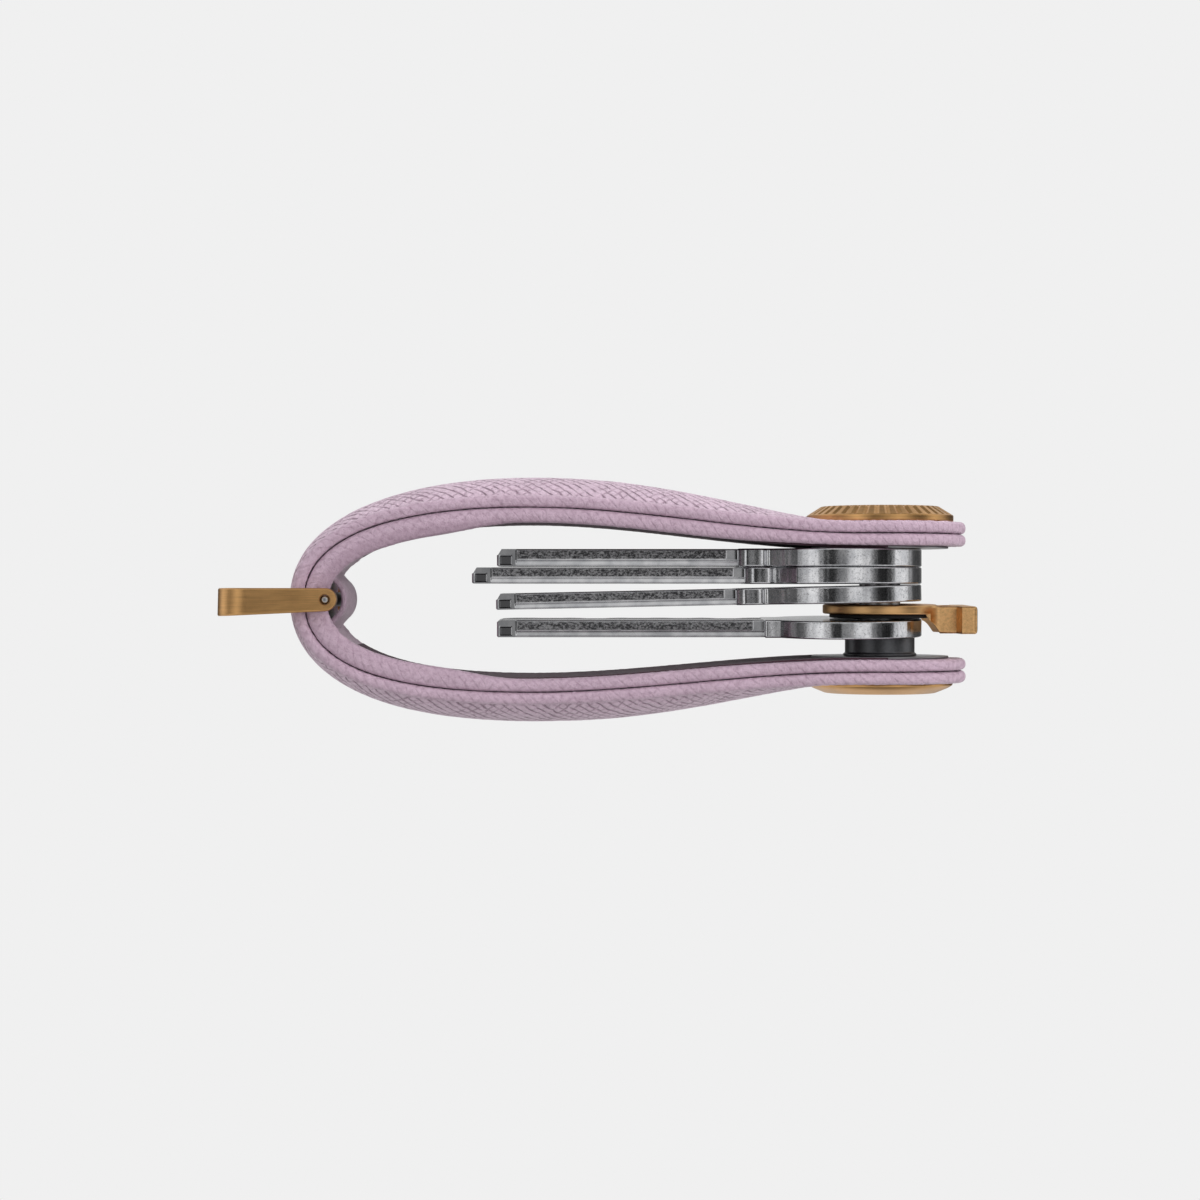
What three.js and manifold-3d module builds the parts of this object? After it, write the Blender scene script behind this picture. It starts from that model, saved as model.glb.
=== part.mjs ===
// Key organiser: a padded leather strap bent into a loop and clamped at its open end by a screw and post,
// which carry four swinging keys and a fob tab. A brass shackle swings on a pin at the closed end.
// Millimetres, +Z up along the post, +X towards the post, -Y the side that faces a viewer.
// The origin is at the bottom centre of the whole object's box.
import * as THREE from "three";
import { mergeVertices } from "three/addons/utils/BufferGeometryUtils.js";
import Module from "manifold-3d";

const wasm = await Module();
wasm.setup();

// ---------------------------------------------------------------- driving dimensions

// Strap: two leather layers that meet at a seam line, with a stiffener and a pad between them.
const STRAP_LENGTH = 66.6; // post axis to the seam at the closed end
const STRAP_WIDTH = 20;
const OUTER_EDGE = 1.4; // thickness of the outer layer at its rolled edge
const INNER_EDGE = 1.4;
const INNER_AT_BEND = 1.6; // the inner layer bunches up inside the bend
const SEAM_GAP = 0.05; // half of the gap between the layers
const CREST_HALF = 10.55; // seam height above the middle plane at the widest part of the loop
const CREST_X = -41; // where that is, from the post axis
const END_FLAT = 3; // the strap lies flat from this far before the post axis to its tip
const LOWER_DROP = 8.27; // seam below the middle plane at the post
const CREST_ROUND = 15; // how far the crest runs on before it turns into the bend
const UPPER_BEND_ROUND = 7.5; // fullness of the bend, above and below
const LOWER_BEND_ROUND = 8.1;
const CROWN = 2.3; // how far the padded middle stands above the rolled edge
const CROWN_AT_BEND = 0.9;
const CROWN_END_X = -6; // the crown fades out here, from the post axis
const CROWN_FULL_X = -34;
const SKIN = 0.9; // leather thickness over the pad
const POCKET_MARGIN = 2; // from the strap's edge to the pocket that holds stiffener and pad
const STIFFENER = 0.38;
const STIFFENER_CLEAR = 0.3; // from the stiffener's edge to the pocket's
const LINING_MARGIN = 1.5; // from the strap's edge to the dark lining inside the loop
const LINING = 0.2;
const LINING_START = 5; // the lining stops this far from the seam at the bend
const PAD_MIN = 0.35; // the pad ends where it would be thinner than this
const FIT = 0.05; // clearance between pieces that are glued or pressed together

// Post, screw and the plates that clamp the strap ends.
const SHAFT_R = 1.55;
const SHAFT_ENGAGED = 5.1;
const SHAFT_PLAY = 0.35; // round the shaft in the post's bore, so that it can tip as the strap opens
const POST_WALL = 0.5;
const POST_RISE = 1.15; // the post stands this far into the upper strap end
const BOSS_PLAY = 0.1; // round the knob's boss in the upper eyelet
const KNOB_R = 8.6;
const KNOB_RIM = 0.75;
const KNOB_HEIGHT = 1.85;
const KNOB_TOP_R = 6.85;
const FLUTES = 40;
const FLUTE_DEPTH = 0.22;
const FLUTE_HALF = 0.24;
const COIN_SLOT_WIDTH = 1.7;
const COIN_SLOT_DEPTH = 0.7;
const CAP_R = 8.5;
const CAP_RIM = 0.35;
const CAP_HEIGHT = 1.25;
const CAP_FACE_R = 6.6;
const PLATE_R = 8;
const PLATE = 0.22;
const EYELET_WALL = 0.3;
const EYELET_CLEAR = 0.5; // play round the post, so that the upper end can tip as it lifts
const SPACER_WALL = 1.45;
const SPACER = 2.1;
const SPACER_COLLAR = 0.35;

// Keys, from the top of the stack down. Each turns in its own plane, which may tip a little on the slack post.
const KEY_PLAY = 0.45; // round the post in a key's hole
const KEY_END = 4.85; // material beyond the hole centre
const BLADE_WIDTH = 8;
const BIT_DEPTH = 2.2;
const KEYS = [
  { name: "key_1", head: "shield", length: 44.9, shoulder: 17, thick: 2.1, roll: 0, lean: 0 },
  { name: "key_2", head: "shield", length: 47.8, shoulder: 16.2, thick: 1.95, roll: 0, lean: 0 },
  { name: "key_3", head: "shield", length: 45, shoulder: 17.2, thick: 1.95, roll: 0.3, lean: 1.2 },
  { name: "key_4", head: "round", length: 44.9, shoulder: 13.9, thick: 2.05, roll: 1.7, lean: 0 },
];
const SHIELD_R = 9.75;
const ROUND_R = 9.15;
const STACK_GAP = 0.04;

// Fob tab: an eye on the post with a stepped arm that ends in a cross bar.
const TAB_R = 6.7;
const TAB_THICK = 1.1;
const TAB_REACH = 10.8;
const TAB_ROLL = 0.9;
const TAB_ARM_HALF = 3.2;
const TAB_BAR = 2.2;
const TAB_BAR_HALF = 5.3;
const TAB_BAR_HEIGHT = 3.2;
const TAB_BAR_DROP = 0.15; // the bar's top lies this far under the eye's top
const TAB_POCKET_CLEAR = 0.2; // round the washer, which sits in a pocket under the eye
const TAB_POCKET_RUN = 1.2; // the pocket opens downwards by this much
const TAB_SLOT_WIDTH = 1.3;
const TAB_SLOT_HALF = 2.1;
const WASHER_R = 5.9;
const WASHER = 0.42;

// Shackle: a flat brass band bent into a U, on a pin that turns in a sleeve behind a leather keeper.
const SHACKLE_REACH = 12.6; // pin axis to the outside of the cross bar
const SHACKLE_CLEAR = 0.4; // between strap edge and arm
const SHACKLE_BAND = 1.35;
const SHACKLE_CORNER = 3.8;
const SHACKLE_BAR_HALF = 1.62; // half height at the cross bar
const SHACKLE_EYE_R = 1.32; // half height at the pin
const PIN_R = 0.46;
const PIN_FIT = 0.04;
const PIN_PLAY = 0.09; // round the pin in its sleeve
const SLEEVE_WALL = 0.27;
const SLEEVE_MARGIN = 0.1; // from the strap's edge to the sleeve's end
const SLEEVE_CLEAR = 0.13; // between the sleeve and the strap's inner layer
const KEEPER_MARGIN = 3.5; // from the strap's edge to the keeper's end
const KEEPER_PLAY = 0.38; // round the sleeve in the keeper
const KEEPER_WALL = 0.85;
const KEEPER_FOOT = 1.8;
const KEEPER_MEET = 65; // degrees round the pin from +X where a foot leaves the round part

// ---------------------------------------------------------------- worked out from them

const rad = THREE.MathUtils.degToRad;
const MID_Z = CREST_HALF + OUTER_EDGE + CROWN; // the loop's middle plane, above the lowest point of the padded strap
const BEND_X = -STRAP_LENGTH;
const HALF_WIDTH = STRAP_WIDTH / 2;
const POCKET_HALF = HALF_WIDTH - POCKET_MARGIN;
const LINING_HALF = HALF_WIDTH - LINING_MARGIN;
const SLEEVE_BORE_R = PIN_R + PIN_PLAY;
const SLEEVE_R = SLEEVE_BORE_R + SLEEVE_WALL;
const SLEEVE_HALF = HALF_WIDTH - SLEEVE_MARGIN;
const KEEPER_HALF = HALF_WIDTH - KEEPER_MARGIN;
const KEEPER_BORE_R = SLEEVE_R + KEEPER_PLAY;
const PIN_X = BEND_X + INNER_AT_BEND + SLEEVE_CLEAR + SLEEVE_R;
const POST_X = (SHACKLE_REACH - PIN_X - TAB_REACH) / 2;
const POST_BORE_R = SHAFT_R + SHAFT_PLAY;
const POST_R = POST_BORE_R + POST_WALL;
const KEY_HOLE_R = POST_R + KEY_PLAY;
const SPACER_BORE_R = POST_R + 0.1;
const SPACER_R = SPACER_BORE_R + SPACER_WALL;
const TIP_X = HALF_WIDTH; // the strap's end is a half circle round the post
const LOWER_SEAM_Z = MID_Z - LOWER_DROP;
const LOWER_FACE_Z = LOWER_SEAM_Z + INNER_EDGE;

// The room that a turn about a horizontal axis takes at a given radius.
const tipRoom = (radius, degrees) => radius * Math.tan(rad(degrees));

// Heights at the post axis, from the lower strap end up.
const lowerPlateZ = LOWER_FACE_Z + FIT;
const spacerZ = lowerPlateZ + PLATE + STACK_GAP;
const [key1, key2, key3, key4] = KEYS;
key4.z = spacerZ + SPACER + STACK_GAP + tipRoom(SPACER_R, key4.roll);
const washerZ = key4.z + key4.thick + STACK_GAP + tipRoom(WASHER_R, key4.roll - TAB_ROLL);
const tabZ = washerZ + WASHER + STACK_GAP;
// key_3 and the tab tip independently and turn past each other, so there is room for both tips in every direction
const key3Tip = Math.hypot(key3.lean, key3.roll);
key3.z = tabZ + TAB_THICK + STACK_GAP + tipRoom(TAB_R, key3Tip + TAB_ROLL);
key2.z =
  key3.z + key3.thick + STACK_GAP + tipRoom(SHIELD_R, key3Tip) - tipRoom(SHIELD_R - KEY_END, key3.lean);
key1.z = key2.z + key2.thick + STACK_GAP;
const upperPlateZ = key1.z + key1.thick + STACK_GAP;
const UPPER_FACE_Z = upperPlateZ + PLATE + FIT;
const UPPER_SEAM_Z = UPPER_FACE_Z + INNER_EDGE;
const postTopZ = UPPER_FACE_Z + POST_RISE;
const knobZ = UPPER_SEAM_Z + OUTER_EDGE + FIT;
const capZ = LOWER_SEAM_Z - OUTER_EDGE - FIT - CAP_HEIGHT;
const eyeletBore = POST_R + EYELET_CLEAR;
const bossR = eyeletBore - BOSS_PLAY;

// ---------------------------------------------------------------- solids from meshes

function toSolid(geometry) {
  const bare = geometry.index ? geometry.toNonIndexed() : geometry.clone();
  const open = new THREE.BufferGeometry().setAttribute("position", bare.getAttribute("position"));
  const merged = mergeVertices(open, 1e-4);
  const vertProperties = new Float32Array(merged.attributes.position.array);
  const triVerts = new Uint32Array(merged.index.array);
  return new wasm.Manifold(new wasm.Mesh({ numProp: 3, vertProperties, triVerts }));
}

function toGeometry(solid) {
  const mesh = solid.getMesh();
  const corners = new Float32Array(mesh.numVert * 3);
  for (let i = 0; i < mesh.numVert; i++) {
    corners.set(mesh.vertProperties.subarray(i * mesh.numProp, i * mesh.numProp + 3), i * 3);
  }
  const geometry = new THREE.BufferGeometry();
  geometry.setAttribute("position", new THREE.BufferAttribute(corners, 3));
  geometry.setIndex(new THREE.BufferAttribute(mesh.triVerts, 1));
  geometry.computeVertexNormals();
  return geometry;
}

// A turned body: profile points are [radius, height], and the axis is Z.
function turned(profile, segments = 40) {
  const points = profile.map(([r, z]) => new THREE.Vector2(r, z));
  return toSolid(new THREE.LatheGeometry(points, segments).rotateX(Math.PI / 2));
}

function ring(outer, inner, low, high, segments = 40) {
  const wall = [[inner, low], [outer, low], [outer, high], [inner, high], [inner, low]];
  return turned(wall, segments);
}

function disc(radius, low, high, segments = 40) {
  return turned([[0, low], [radius, low], [radius, high], [0, high]], segments);
}

function box(low, high) {
  const size = high.map((v, i) => v - low[i]);
  const centre = high.map((v, i) => (v + low[i]) / 2);
  return toSolid(new THREE.BoxGeometry(...size).translate(...centre));
}

// A flat shape in X and Y, thickened from low to high.
function slab(shape, low, high, curveSegments = 24) {
  const settings = { depth: high - low, bevelEnabled: false, curveSegments };
  return toSolid(new THREE.ExtrudeGeometry(shape, settings).translate(0, 0, low));
}

// A flat shape in X and Z, thickened along Y.
function wall(shape, halfWidth, curveSegments = 24) {
  const settings = { depth: 2 * halfWidth, bevelEnabled: false, curveSegments };
  const geometry = new THREE.ExtrudeGeometry(shape, settings).translate(0, 0, -halfWidth);
  return toSolid(geometry.rotateX(Math.PI / 2));
}

function roundedBox(x0, y0, x1, y1, r) {
  const shape = new THREE.Shape();
  shape.moveTo(x0 + r, y0);
  shape.lineTo(x1 - r, y0);
  shape.absarc(x1 - r, y0 + r, r, -Math.PI / 2, 0);
  shape.lineTo(x1, y1 - r);
  shape.absarc(x1 - r, y1 - r, r, 0, Math.PI / 2);
  shape.lineTo(x0 + r, y1);
  shape.absarc(x0 + r, y1 - r, r, Math.PI / 2, Math.PI);
  shape.lineTo(x0, y0 + r);
  shape.absarc(x0 + r, y0 + r, r, Math.PI, Math.PI * 1.5);
  return shape;
}

// ---------------------------------------------------------------- the strap's line

// The seam line of one limb in X and Z, from the tip over the post, up to the crest and round to the bend.
// side is 1 for the upper limb and -1 for the lower one.
function seamLine(side) {
  const endZ = side > 0 ? UPPER_SEAM_Z : LOWER_SEAM_Z;
  const crestZ = MID_Z + side * CREST_HALF;
  const round = side > 0 ? UPPER_BEND_ROUND : LOWER_BEND_ROUND;
  const third = (-END_FLAT - CREST_X) / 3;
  const at = (x, z) => new THREE.Vector2(x, z);
  const line = new THREE.CurvePath();
  line.add(new THREE.LineCurve(at(TIP_X, endZ), at(-END_FLAT, endZ)));
  line.add(
    new THREE.CubicBezierCurve(
      at(-END_FLAT, endZ),
      at(-END_FLAT - third, endZ),
      at(CREST_X + third, crestZ),
      at(CREST_X, crestZ),
    ),
  );
  line.add(
    new THREE.CubicBezierCurve(
      at(CREST_X, crestZ),
      at(CREST_X - CREST_ROUND, crestZ),
      at(BEND_X, MID_Z + side * round),
      at(BEND_X, MID_Z),
    ),
  );
  return line;
}

// The crown's height over the rolled edge: full along the loop, fading to nothing before the post.
function crownAt(x) {
  if (x > CROWN_END_X) return 0;
  if (x > CROWN_FULL_X) {
    return CROWN * Math.sin(((CROWN_END_X - x) / (CROWN_END_X - CROWN_FULL_X)) * (Math.PI / 2));
  }
  const towardsBend = Math.max(0, (CREST_X - x) / (CREST_X - BEND_X));
  return CROWN + (CROWN_AT_BEND - CROWN) * towardsBend ** 2;
}

function innerEdgeAt(x) {
  const towardsBend = Math.max(0, (CREST_X - x) / (CREST_X - BEND_X));
  return INNER_EDGE + (INNER_AT_BEND - INNER_EDGE) * towardsBend ** 2;
}

// Sweeps a section along one limb. section(x) gives [y, offset] corners, with offset out from the seam line,
// and stops are the shares of the limb's length where the sweep has a station.
function sweep(side, stops, section) {
  const line = seamLine(side);
  const stations = stops.map((u) => {
    const at = line.getPointAt(u);
    const along = line.getTangentAt(u);
    const out = new THREE.Vector2(-along.y, along.x).multiplyScalar(-side);
    return section(at.x).map(([y, d]) => [at.x + out.x * d, y, at.y + out.y * d]);
  });
  const flat = section(line.getPointAt(stops[0]).x).map(([y, d]) => new THREE.Vector2(y, d));
  const clockwise = THREE.ShapeUtils.isClockWise(flat);
  const faces = THREE.ShapeUtils.triangulateShape(flat, []);
  const corners = [];
  const put = (a, b, c, turn) => corners.push(...a, ...(turn ? c : b), ...(turn ? b : c));
  const last = stations[stations.length - 1];
  for (const [a, b, c] of faces) {
    put(stations[0][a], stations[0][b], stations[0][c], side < 0);
    put(last[a], last[b], last[c], side > 0);
  }
  const count = flat.length;
  for (let i = 0; i + 1 < stations.length; i++) {
    const [here, next] = [stations[i], stations[i + 1]];
    for (let k = 0; k < count; k++) {
      const n = (k + 1) % count;
      put(here[k], here[n], next[n], side > 0 !== clockwise);
      put(here[k], next[n], next[k], side > 0 !== clockwise);
    }
  }
  const geometry = new THREE.BufferGeometry();
  geometry.setAttribute("position", new THREE.BufferAttribute(new Float32Array(corners), 3));
  return toSolid(geometry);
}

const spaced = (from, to, count) =>
  Array.from({ length: count }, (_, i) => from + ((to - from) * i) / (count - 1));

const LIMB_STOPS = [0, 0.1, ...spaced(0.16, 1, 22)];
const PAD_YS = spaced(-0.8, 0.8, 5).map((share) => share * POCKET_HALF);

// The outer layer: rolled edges, a crowned back, and a pocket underneath.
function outerSection(x) {
  const crown = crownAt(x);
  const edge = HALF_WIDTH;
  const rise = (y) => OUTER_EDGE + crown * (1 - (y / (edge - 0.5)) ** 2);
  const pocket = (y) => OUTER_EDGE - SKIN + crown * (1 - (y / POCKET_HALF) ** 2);
  const back = [-6.5, -3.3, 0, 3.3, 6.5].map((y) => [y, rise(y)]);
  const under = [...PAD_YS].reverse().map((y) => [y, pocket(y)]);
  return [
    [-edge + 0.4, SEAM_GAP],
    [-edge, 0.45],
    [-edge, 0.95],
    [-edge + 0.5, OUTER_EDGE],
    ...back,
    [edge - 0.5, OUTER_EDGE],
    [edge, 0.95],
    [edge, 0.45],
    [edge - 0.4, SEAM_GAP],
    [POCKET_HALF, SEAM_GAP],
    [POCKET_HALF, OUTER_EDGE - SKIN],
    ...under,
    [-POCKET_HALF, OUTER_EDGE - SKIN],
    [-POCKET_HALF, SEAM_GAP],
  ];
}

function innerSection(x) {
  const thick = innerEdgeAt(x);
  const edge = HALF_WIDTH;
  return [
    [edge - 0.4, -SEAM_GAP],
    [edge, -0.45],
    [edge, 0.45 - thick],
    [edge - 0.5, -thick],
    [0.5 - edge, -thick],
    [-edge, 0.45 - thick],
    [-edge, -0.45],
    [0.4 - edge, -SEAM_GAP],
  ];
}

function stiffenerSection() {
  const edge = POCKET_HALF - STIFFENER_CLEAR;
  return [[-edge, 0], [-edge, STIFFENER], [edge, STIFFENER], [edge, 0]];
}

function padSection(x) {
  const crown = crownAt(x);
  const low = STIFFENER + FIT;
  const high = (y) => OUTER_EDGE - SKIN - 2 * FIT + crown * (1 - (y / POCKET_HALF) ** 2);
  const top = PAD_YS.map((y) => [y, high(y)]);
  return [[PAD_YS[0], low], ...top, [PAD_YS[PAD_YS.length - 1], low]];
}

function liningSection(x) {
  const face = -innerEdgeAt(x) - FIT;
  return [[-LINING_HALF, face], [LINING_HALF, face], [LINING_HALF, face - LINING], [-LINING_HALF, face - LINING]];
}

// The outline of the strap seen from above: straight sides and a half-round end.
function strapOutline(inset) {
  const r = HALF_WIDTH - inset;
  const shape = new THREE.Shape();
  shape.moveTo(0, -r);
  shape.absarc(0, 0, r, -Math.PI / 2, Math.PI / 2);
  shape.lineTo(-2 * STRAP_LENGTH, r);
  shape.lineTo(-2 * STRAP_LENGTH, -r);
  shape.lineTo(0, -r);
  return slab(shape, -MID_Z, 3 * MID_Z, 20);
}

// Where the pad ends along a limb, as a share of its length.
function padStops(side) {
  const line = seamLine(side);
  const thickEnough = LIMB_STOPS.filter((u) => crownAt(line.getPointAt(u).x) > PAD_MIN);
  return thickEnough.filter((u) => u < 0.985);
}

function strapPieces(side) {
  const suffix = side > 0 ? "upper" : "lower";
  const hole = disc(eyeletBore + EYELET_WALL + FIT, -MID_Z, 3 * MID_Z, 32);
  const halfPlane = side > 0
    ? box([-2 * STRAP_LENGTH, -STRAP_WIDTH, MID_Z + 0.15], [STRAP_WIDTH, STRAP_WIDTH, 3 * MID_Z])
    : box([-2 * STRAP_LENGTH, -STRAP_WIDTH, -MID_Z], [STRAP_WIDTH, STRAP_WIDTH, MID_Z - 0.15]);
  const knobSeat = side > 0
    ? disc(KNOB_R + 0.3, UPPER_SEAM_Z + OUTER_EDGE, 3 * MID_Z)
    : disc(CAP_R + 0.3, -MID_Z, LOWER_SEAM_Z - OUTER_EDGE);
  const trim = (solid, inset) => solid.intersect(strapOutline(inset)).intersect(halfPlane).subtract(hole);
  const outer = trim(sweep(side, LIMB_STOPS, outerSection), 0).subtract(knobSeat);
  const inner = trim(sweep(side, LIMB_STOPS, innerSection), 0);
  const stiffener = trim(sweep(side, LIMB_STOPS, stiffenerSection), POCKET_MARGIN + STIFFENER_CLEAR);
  const pad = sweep(side, padStops(side), padSection);
  const plateRoom = disc(PLATE_R + 0.3, -MID_Z, 3 * MID_Z).add(
    box([0, -STRAP_WIDTH, -MID_Z], [STRAP_WIDTH, STRAP_WIDTH, 3 * MID_Z]),
  );
  const bendRoom = box([BEND_X - 9, -STRAP_WIDTH, -MID_Z], [BEND_X + LINING_START, STRAP_WIDTH, 3 * MID_Z]);
  const lining = sweep(side, LIMB_STOPS, liningSection).subtract(plateRoom).subtract(bendRoom);
  return [
    [`outer_leather_${suffix}`, outer, "leather"],
    [`inner_leather_${suffix}`, inner, "leather"],
    [`stiffener_${suffix}`, stiffener, "spring"],
    [`pad_${suffix}`, pad, "foam"],
    [`lining_${suffix}`, lining, "lining"],
  ];
}

// ---------------------------------------------------------------- clamp

// The flats that keep the post from turning in the lower plate.
const flats = (r, low, high, clear) => box([-2 * r, -r * 0.8 - clear, low], [2 * r, r * 0.8 + clear, high]);

function clampPieces() {
  const barrel = ring(POST_R, POST_BORE_R, spacerZ, postTopZ, 32);
  const foot = disc(POST_R, capZ + 0.4, spacerZ, 32).intersect(flats(POST_R, 0, spacerZ, 0));
  const post = foot.add(barrel);
  const socket = disc(POST_R + FIT, capZ + 0.35, MID_Z, 32);
  const cap = turned([
    [0, capZ],
    [CAP_FACE_R, capZ],
    [CAP_R, capZ + CAP_HEIGHT - CAP_RIM],
    [CAP_R, capZ + CAP_HEIGHT],
    [0, capZ + CAP_HEIGHT],
  ], 64).subtract(socket);
  const doubleD = disc(POST_R + FIT, 0, MID_Z, 32).intersect(flats(POST_R, 0, MID_Z, FIT));
  const lowerPlate = disc(PLATE_R, lowerPlateZ, lowerPlateZ + PLATE).subtract(doubleD);
  const upperPlate = ring(PLATE_R, eyeletBore, upperPlateZ, upperPlateZ + PLATE);
  const eyelet = (low, high) => ring(eyeletBore + EYELET_WALL, eyeletBore, low, high, 32);
  const spacer = turned([
    [SPACER_BORE_R, spacerZ],
    [SPACER_R + SPACER_COLLAR, spacerZ],
    [SPACER_R + SPACER_COLLAR, spacerZ + 0.15],
    [SPACER_R, spacerZ + 0.5],
    [SPACER_R, spacerZ + SPACER],
    [SPACER_BORE_R, spacerZ + SPACER],
    [SPACER_BORE_R, spacerZ],
  ]);
  return {
    fixed: [
      ["post", post, "steel"],
      ["lower_cap", cap, "brass"],
      ["lower_plate", lowerPlate, "steel"],
      ["lower_eyelet", eyelet(LOWER_SEAM_Z - OUTER_EDGE, LOWER_FACE_Z), "steel"],
      ["spacer", spacer, "nylon"],
    ],
    lifting: [
      ["upper_plate", upperPlate, "steel"],
      ["upper_eyelet", eyelet(UPPER_FACE_Z, UPPER_SEAM_Z + OUTER_EDGE), "steel"],
    ],
  };
}

// The knob: a fluted bevel, a coin slot across the top, and a boss that centres it in the eyelet.
function screwPieces() {
  const bossLow = postTopZ + 0.3;
  let knob = turned([
    [0, bossLow],
    [bossR, bossLow],
    [bossR, knobZ],
    [KNOB_R, knobZ],
    [KNOB_R, knobZ + KNOB_RIM],
    [KNOB_TOP_R, knobZ + KNOB_HEIGHT],
    [0, knobZ + KNOB_HEIGHT],
  ], 2 * FLUTES);
  const run = KNOB_R - KNOB_TOP_R;
  const slope = Math.atan2(KNOB_HEIGHT - KNOB_RIM, run);
  const tooth = new THREE.Shape([
    new THREE.Vector2(-2 * FLUTE_HALF, FLUTE_DEPTH),
    new THREE.Vector2(0, -FLUTE_DEPTH),
    new THREE.Vector2(2 * FLUTE_HALF, FLUTE_DEPTH),
  ]);
  const cutter = new THREE.ExtrudeGeometry(tooth, { depth: 2.6 * run, bevelEnabled: false });
  cutter.rotateX(Math.PI / 2).rotateZ(Math.PI / 2).translate(-1.3 * run, 0, 0).rotateY(slope);
  cutter.translate((KNOB_R + KNOB_TOP_R) / 2, 0, knobZ + (KNOB_RIM + KNOB_HEIGHT) / 2);
  const cuts = Array.from({ length: FLUTES }, (_, i) =>
    toSolid(cutter.clone().rotateZ((2 * Math.PI * (i + 0.5)) / FLUTES)),
  );
  knob = knob.subtract(wasm.Manifold.union(cuts));
  const slotFloor = knobZ + KNOB_HEIGHT - COIN_SLOT_DEPTH;
  const slotHalf = KNOB_TOP_R - 1;
  const slot = roundedBox(-slotHalf, -COIN_SLOT_WIDTH / 2, slotHalf, COIN_SLOT_WIDTH / 2, COIN_SLOT_WIDTH / 2);
  knob = knob.subtract(slab(slot, slotFloor, 3 * MID_Z, 8));
  knob = knob.subtract(disc(SHAFT_R + FIT, 0, slotFloor - 0.5, 32));
  const shaft = disc(SHAFT_R, postTopZ - SHAFT_ENGAGED, slotFloor - 0.5 - FIT, 32);
  return [
    ["knob", knob, "brass"],
    ["screw_shaft", shaft, "steel"],
  ];
}

// ---------------------------------------------------------------- keys, tab and washer

// The head's outline, with the hole at the origin and the blade towards -X.
function headShape({ head, shoulder }) {
  const r = head === "round" ? ROUND_R : SHIELD_R;
  const centre = KEY_END - r;
  const neck = BLADE_WIDTH / 2 + 0.9;
  const leave = Math.PI - Math.asin(neck / r) - (head === "round" ? 0 : 0.45);
  const shape = new THREE.Shape();
  shape.moveTo(-shoulder, -neck);
  if (head === "shield") {
    shape.lineTo(-shoulder + 2.4, -neck - 0.5);
    shape.lineTo(-shoulder + 3.4, -neck + 0.2);
  }
  shape.lineTo(centre + r * Math.cos(leave), -r * Math.sin(leave));
  shape.absarc(centre, 0, r, -leave, leave);
  if (head === "shield") {
    shape.lineTo(-shoulder + 3.4, neck - 0.2);
    shape.lineTo(-shoulder + 2.4, neck + 0.5);
  }
  shape.lineTo(-shoulder, neck);
  return shape;
}

// The blade's outline: a straight near edge, a pointed tip and five cuts in the far edge.
function bladeShape({ length, shoulder }, depths) {
  const half = BLADE_WIDTH / 2;
  const start = shoulder - 1;
  const pitch = (length - shoulder - 5) / depths.length;
  const shape = new THREE.Shape();
  shape.moveTo(-start, -half);
  shape.lineTo(-start, half);
  depths.forEach((share, i) => {
    const middle = shoulder + 1.4 + pitch * (i + 0.5);
    const floor = half - BIT_DEPTH * share;
    const ramp = BIT_DEPTH * share;
    shape.lineTo(-(middle - 0.35 * pitch - 0.4 * ramp), half);
    shape.lineTo(-(middle - 0.2 * pitch), floor);
    shape.lineTo(-(middle + 0.2 * pitch), floor);
    shape.lineTo(-(middle + 0.35 * pitch + 0.4 * ramp), half);
  });
  shape.lineTo(-(length - 2.2), half);
  shape.lineTo(-length, half - 2.6);
  shape.lineTo(-length, 1.2 - half);
  shape.lineTo(-(length - 1.2), -half);
  return shape;
}

// The blade's section in Y and Z: one wide groove above, one below and a step along the near edge.
function keyway(thick, length) {
  const half = BLADE_WIDTH / 2;
  const groove = thick * 0.3;
  const corners = [
    [-half + 0.45, 0], [-1.6, 0], [-1.2, groove], [0.4, groove], [0.8, 0], [half, 0],
    [half, thick], [2.9, thick], [2.5, thick - groove], [1.2, thick - groove], [0.8, thick],
    [-1.9, thick], [-2.2, thick - 0.5 * groove], [-2.9, thick - 0.5 * groove], [-3.1, thick],
    [-half, thick], [-half, thick * 0.42], [-half + 0.45, thick * 0.36],
  ];
  const shape = new THREE.Shape(corners.map(([y, z]) => new THREE.Vector2(y, z)));
  const geometry = new THREE.ExtrudeGeometry(shape, { depth: length + 2, bevelEnabled: false });
  return toSolid(geometry.rotateX(Math.PI / 2).rotateZ(Math.PI / 2).translate(-length - 2, 0, 0));
}

const BITTING = [
  [0.5, 0.9, 0.35, 0.7, 0.55],
  [0.8, 0.4, 0.95, 0.6, 0.3],
  [0.3, 0.65, 0.85, 0.45, 0.75],
  [0.9, 0.55, 0.4, 0.85, 0.5],
];

function keySolid(key, index) {
  const head = slab(headShape(key), 0, key.thick, 20);
  const blade = slab(bladeShape(key, BITTING[index]), 0, key.thick).intersect(keyway(key.thick, key.length));
  return head.add(blade).subtract(disc(KEY_HOLE_R, -1, key.thick + 1, 24));
}

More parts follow.
